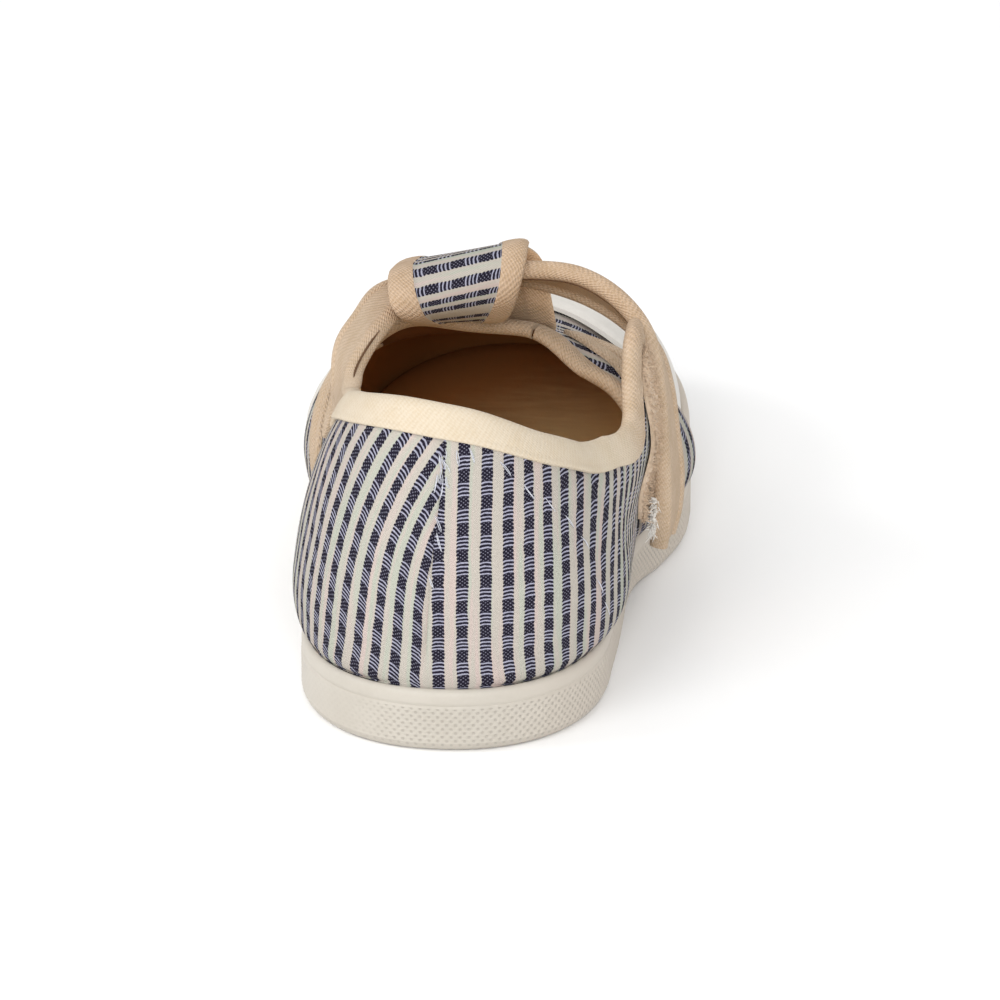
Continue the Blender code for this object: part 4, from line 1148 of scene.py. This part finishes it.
def ribbon(rear, front, thickness, rim, raised, hollow=0.0):
    """Strip between two edge curves, its rounded rims raised and its middle sunk by hollow."""
    across, up, width = ribbon_axes(rear, front)
    thin = thickness / 2
    inset = np.minimum(rim, width * 0.3)
    edge = ((0.0, 0.0), (0.05, 0.42), (0.16, 0.72), (0.34, 0.92), (0.55, 1.0), (0.78, 0.99),
            (0.93, 0.93), (1.0, 0.86))
    middle = np.linspace(0.02, 0.98, RIBBON_STEPS)
    top = [(inset * a, (thin + raised[0]) * b) for a, b in edge]
    top += [(inset + (width - 2 * inset) * t, thin + 0 * width) for t in middle]
    top += [(width - inset * a, (thin + raised[1]) * b) for a, b in edge[::-1]]
    sunk = [hollow * min(1.0, 12 * min(t, 1 - t)) for t in middle]
    sunk = [0.0] * len(edge) + sunk + [0.0] * len(edge)
    ring = [rear + across * a + up * (h - s) for (a, h), s in zip(top, sunk)]
    ring += [rear + across * a - up * h for a, h in top[-2:0:-1]]
    return np.stack(ring, 1)


STRAP_END = (1.9, 0.55, 0.5)  # thickness of the strap and how far its rear and front rims stand proud


def strap_growth():
    """Rows of the strap where it grows out of the collar's tape: edges, thickness and rims."""
    root = nearest(STRAP_ROOT_REAR)
    into, scale, on_face, up, over = edge_frame(OPENING, True, turning(OPENING))

    def under(index, depth, offset):
        return shell(OPENING[index:index + 1] + into[index] * depth / scale[index], np.array([offset]))[0]

    rows = []
    for back, lift, below, thin, rim in ((24, 1.35, 3.4, 0.7, 0.3), (16, 1.5, 3.6, 0.8, 0.5),
                                         (9, 1.75, 4.3, 1.0, 0.8), (3, 1.9, 6.0, 1.3, 0.8)):
        index = (root + back) % len(OPENING)
        tip = on_face[index] - up[index] * 0.35 + over[index] * lift
        rows.append([*tip, *under(index, below, 0.5), thin, rim, 0.0])
    for tip, place, below, offset, shape in (
            ((-18.9, 37.0, 46.2), (-21.6, 45.0, 43.6), 4.6, 1.1, (1.5, 0.7, 0.1)),
            ((-18.9, 38.6, 47.0), (-23.6, 54.0, 41.2), 2.6, 1.5, (1.8, 0.6, 0.3))):
        rows.append([*tip, *under(nearest(place), below, offset), *shape])
    return np.array(rows)


def make_strap():
    strap = np.column_stack([STRAP[1:], np.tile(STRAP_END, (len(STRAP) - 1, 1))])
    rows = curve(np.vstack([strap_growth(), strap]), 240, False)
    sections = ribbon(rows[:, :3], rows[:, 3:6], rows[:, 6:7], STRAP_RIM, (rows[:, 7:8], rows[:, 8:]), 0.5)
    add_sweep("strap_twill", sections, False, TAPE, "strap")
    rows = curve(STRAP, STRAP_ROWS, False)
    rear = rows[:, :3]
    across, up, _ = ribbon_axes(rear, rows[:, 3:])
    # dark tubes painted as shadow: in the groove under the rear rim, and along the rear edge at the strap's
    # root
    under = (rear + across * 2.0 + up * 1.46)[UNDER_SHADOW_ROWS]
    root_shadow = (rear - across * 0.12 - up * 0.15)[SLIT_SHADOW_ROWS]
    verts, faces = tubes([under, root_shadow], SHADOW_LINE_RADIUS, 6)
    add_piece("strap_shadow_lines", verts, faces, SHADOW_LINE)


# distance along the T-bar from its front end, and how far its two edges hang below its middle there
T_BAR_HANG = ((0, 1.5), (8, 1.5), (15, 1.1), (22, 0.4), (30, 0), (100, 0))
# distance along the T-bar from its front end, and count of stripes there
T_BAR_STRIPES = ((0, -14), (40.2, -3), (43.9, -2), (48.2, -1), (52, 0), (53.8, 1), (55.1, 2), (56, 2.35),
                 (58.5, 2.6), (76, 8))


def make_t_bar():
    rows = curve(T_BAR, 230, False)
    y, z, centre, half, skew, roll = rows.T
    medial, lateral = (np.column_stack([centre + way * half, y + way * skew, z + way * roll])
                       for way in (-1, 1))
    sections = ribbon(lateral, medial, T_BAR_THICKNESS, T_BAR_RIM, (RIM_RAISE, RIM_RAISE))
    middle = (lateral + medial)[:, None] / 2
    across = (medial - lateral)[:, None]
    place = ((sections - middle) * across).sum(-1) * 2 / (across ** 2).sum(-1)
    hang = smooth(T_BAR_HANG, arc(middle[:, 0]))
    sections[..., 2] -= hang.reshape(-1, 1) * place ** 2
    body = add_sweep("t_bar_canvas", sections, False, TAPE, "t_bar")
    for material in (CANVAS, TAPE_SHADED):
        body.data.materials.append(material)
    count = sections.shape[1]
    stripe = np.interp(arc(sections.mean(1)), *zip(*T_BAR_STRIPES))
    layer = body.data.uv_layers["weave"].data
    rim = 7
    for polygon in body.data.polygons[:(len(rows) - 1) * count]:
        k = polygon.index % count
        # the underside takes the tape's painted-shade copy
        if k >= rim + RIBBON_STEPS + 1 + rim + 1:
            polygon.material_index = 2
        if rim <= k < rim + RIBBON_STEPS + 1:
            polygon.material_index = 1
            for loop in polygon.loop_indices:
                r, c = divmod(body.data.loops[loop].vertex_index, count)
                layer[loop].uv = (stripe[r], (c - 20.5) * 0.5 / BLOCK_PITCH)


def add_pile(name, material, roots, ways, length, curl, radius):
    """A piece of short curling fibres growing from roots along ways."""
    t = np.linspace(0, 1, 4)[:, None]
    paths = []
    for root, way in zip(roots, ways):
        reach = length * rng.uniform(0.6, 1.3)
        side = rng.normal(size=3) * curl
        paths.append(root + way * reach * t + side * reach * t * t)
    verts, faces = tubes(paths, radius, 3)
    add_piece(name, verts, faces, material)


def make_fastener():
    rows = curve(STRAP, STRAP_ROWS, False)[HOOK_ROWS[0]:HOOK_ROWS[1]:2]
    rear = rows[:, :3]
    across, up, width = ribbon_axes(rear, rows[:, 3:])
    near = STRAP_THICKNESS / 2 + 0.12
    width = width - HOOK_INSET - HOOK_MARGIN
    ring = [rear + across * (HOOK_MARGIN + width * t) + up * height
            for height, ways in ((near + 0.75, 1), (near, -1)) for t in np.linspace(0, 1, 14)[::ways]]
    add_sweep("hook_tape_pad", np.stack(ring, 1), False, FLUFF, "hook_tape")
    pick = rng.integers(0, len(rows), HOOK_FIBRES)
    one = (HOOK_FIBRES, 1)
    roots = rear[pick] + across[pick] * rng.uniform(0.2, 3.0, one) + up[pick] * rng.uniform(0.7, 1.5, one)
    ways = unit(-across[pick] * 0.9 + up[pick] * rng.uniform(-0.3, 0.7, one) + [0, 0, -0.5])
    low = rows[pick, 2] < 23.5
    add_pile("hook_fibres", HOOK_WHITE, roots[low], ways[low], 1.0, 0.35, 0.1)
    add_pile("strap_pile", FLUFF, roots[~low], ways[~low], 0.8, 0.5, 0.07)
    outline = curve(place_on_face(LOOP_TAPE), 140, True)
    flat, triangles, edges = triangulate(outline, [], PAD_MESH)
    rise = np.minimum(distance_to(outline, flat) / 0.8, 1)
    bumps = rng.uniform(-0.22, 0.0, len(flat)) - 0.6 * (1 - rise) ** 2
    verts, faces = wall(flat, triangles, edges, 1.35 + bumps, 0.3)
    add_piece("loop_tape_pad", verts, faces, FLUFF, ("loop_tape",))
    pick = rng.integers(0, len(flat), LOOP_FIBRES)
    ways = unit(normal(flat[pick]) * 0.6 + rng.normal(size=(LOOP_FIBRES, 3)) * 0.35 + [0.0, -0.6, 0.0])
    add_pile("loop_pile", FLUFF, shell(flat[pick], np.ones(LOOP_FIBRES)), ways, 0.8, 0.5, 0.06)


SLUB_RUNS = (9.4, 13.7, 17.9, 22.0, 25.4, 28.4, 30.8)
SLUB_HEIGHTS = ((8, 47), (13, 42.8), (18, 39.4), (22, 36), (26, 31), (31, 20))


def make_slubs():
    """Loose white threads: one on each lateral stripe, and a fray along the heel seam."""
    paths = []
    for run in SLUB_RUNS:
        height = smooth(SLUB_HEIGHTS, run)[0]
        fall = 2.4 if run < 26 else 3.0
        paths.append(((run, height), (run + 1.9, height - fall)))
    for _ in range(9):
        height = rng.uniform(43.0, 49.0)
        run = seam_place(height) + rng.uniform(-1.2, 1.0)
        paths.append(((run, height), (run + rng.uniform(-0.5, 1.3), height - rng.uniform(1.2, 3.4))))
    for run, height in ((2.6, 48.6), (4.6, 48.9), (-0.6, 38.6), (-0.2, 36.0), (-1.4, 29.0)):
        paths.append(((run, height), (run + rng.uniform(0.3, 1.4), height - rng.uniform(1.5, 3.0))))
    strands = []
    for start, end in paths:
        for _ in range(2):
            t = np.linspace(0, 1, 9)
            sway = rng.uniform(-0.25, 0.25) * np.sin(math.pi * t) + rng.uniform(-0.12, 0.12)
            run = start[0] + (end[0] - start[0]) * t + sway
            q = chart_at(run, start[1] + (end[1] - start[1]) * t)
            strands.append(shell(q, cloth_offset(q, face(q)) + 0.06 + 0.16 * np.sin(math.pi * t)))
    verts, faces = tubes(strands, 0.06, 5)
    add_piece("slub_threads", verts, faces, THREAD)


# ---- studio ----
FLOOR_SIZE = 3.0             # metres from the middle to each side
WORLD_STRENGTH = 0.62
LIGHTS_AIM = (0, 0, 0.03)
LIGHTS = (                   # name, place in metres, size and watts
    ("key", (-0.5, -0.95, 0.75), 0.7, 5.5),
    ("fill", (0.8, -0.8, 0.6), 0.9, 2.2),
    ("front", (0.10, -1.05, 0.475), 0.25, 4.4),
    ("side", (-0.85, -0.25, 0.6), 0.3, 2.4),
    ("back", (0.1, 0.9, 0.9), 0.8, 2.5),
)
CAMERA_AZIMUTH = 5.5         # degrees from straight behind towards the lateral side
CAMERA_ELEVATION = 20.3
CAMERA_DISTANCE = 1.0        # metres
CAMERA_TARGET = (1.187, -22.4, 30.2)
CAMERA_SHIFT = (1.779, -10.379)
SENSOR = 36.0
LENS_RATIO = 6.150           # focal length over sensor width


def make_studio():
    scene = bpy.context.scene
    mesh = bpy.data.meshes.new("studio_floor")
    corners = [(x * FLOOR_SIZE, y * FLOOR_SIZE, 0) for x, y in ((-1, -1), (1, -1), (1, 1), (-1, 1))]
    mesh.from_pydata(corners, [], [(0, 1, 2, 3)])
    m = Nodes("studio_white")
    m.finish((0.985, 0.985, 0.985, 1.0), 0.9)
    mesh.materials.append(m.material)
    ground_plane = bpy.data.objects.new("studio_floor", mesh)
    scene.collection.objects.link(ground_plane)
    world = bpy.data.worlds.new("studio")
    world.use_nodes = True
    inputs = world.node_tree.nodes["Background"].inputs
    inputs["Color"].default_value = (1.0, 1.0, 1.0, 1.0)
    inputs["Strength"].default_value = WORLD_STRENGTH
    scene.world = world
    for name, place, size, power in LIGHTS:
        light = bpy.data.lights.new(name, "AREA")
        light.size = size
        light.energy = power
        lamp = bpy.data.objects.new(name, light)
        lamp.location = place
        lamp.rotation_euler = (Vector(LIGHTS_AIM) - Vector(place)).to_track_quat("-Z", "Y").to_euler()
        scene.collection.objects.link(lamp)
    scene.view_settings.view_transform = "Standard"


def make_camera():
    azimuth, elevation = math.radians(CAMERA_AZIMUTH), math.radians(CAMERA_ELEVATION)
    level = math.cos(elevation)
    back = Vector((math.sin(azimuth) * level, -math.cos(azimuth) * level, math.sin(elevation)))
    right = Vector((math.cos(azimuth), math.sin(azimuth), 0.0))
    up = back.cross(right)
    target = Vector(CAMERA_TARGET) * MM
    aim = target + (right * CAMERA_SHIFT[0] + up * CAMERA_SHIFT[1]) * MM
    place = target + back * CAMERA_DISTANCE
    lens = bpy.data.cameras.new("camera")
    lens.sensor_width = SENSOR
    lens.lens = LENS_RATIO * SENSOR
    lens.clip_start = 0.01
    camera = bpy.data.objects.new("camera", lens)
    camera.location = place
    camera.rotation_euler = (aim - place).to_track_quat("-Z", "Y").to_euler()
    bpy.context.scene.collection.objects.link(camera)
    bpy.context.scene.camera = camera


make_camera()
make_outsole()
make_insole()
make_upper()
make_bindings()
make_toe_cap()
make_strap()
make_t_bar()
make_fastener()
make_slubs()
make_studio()
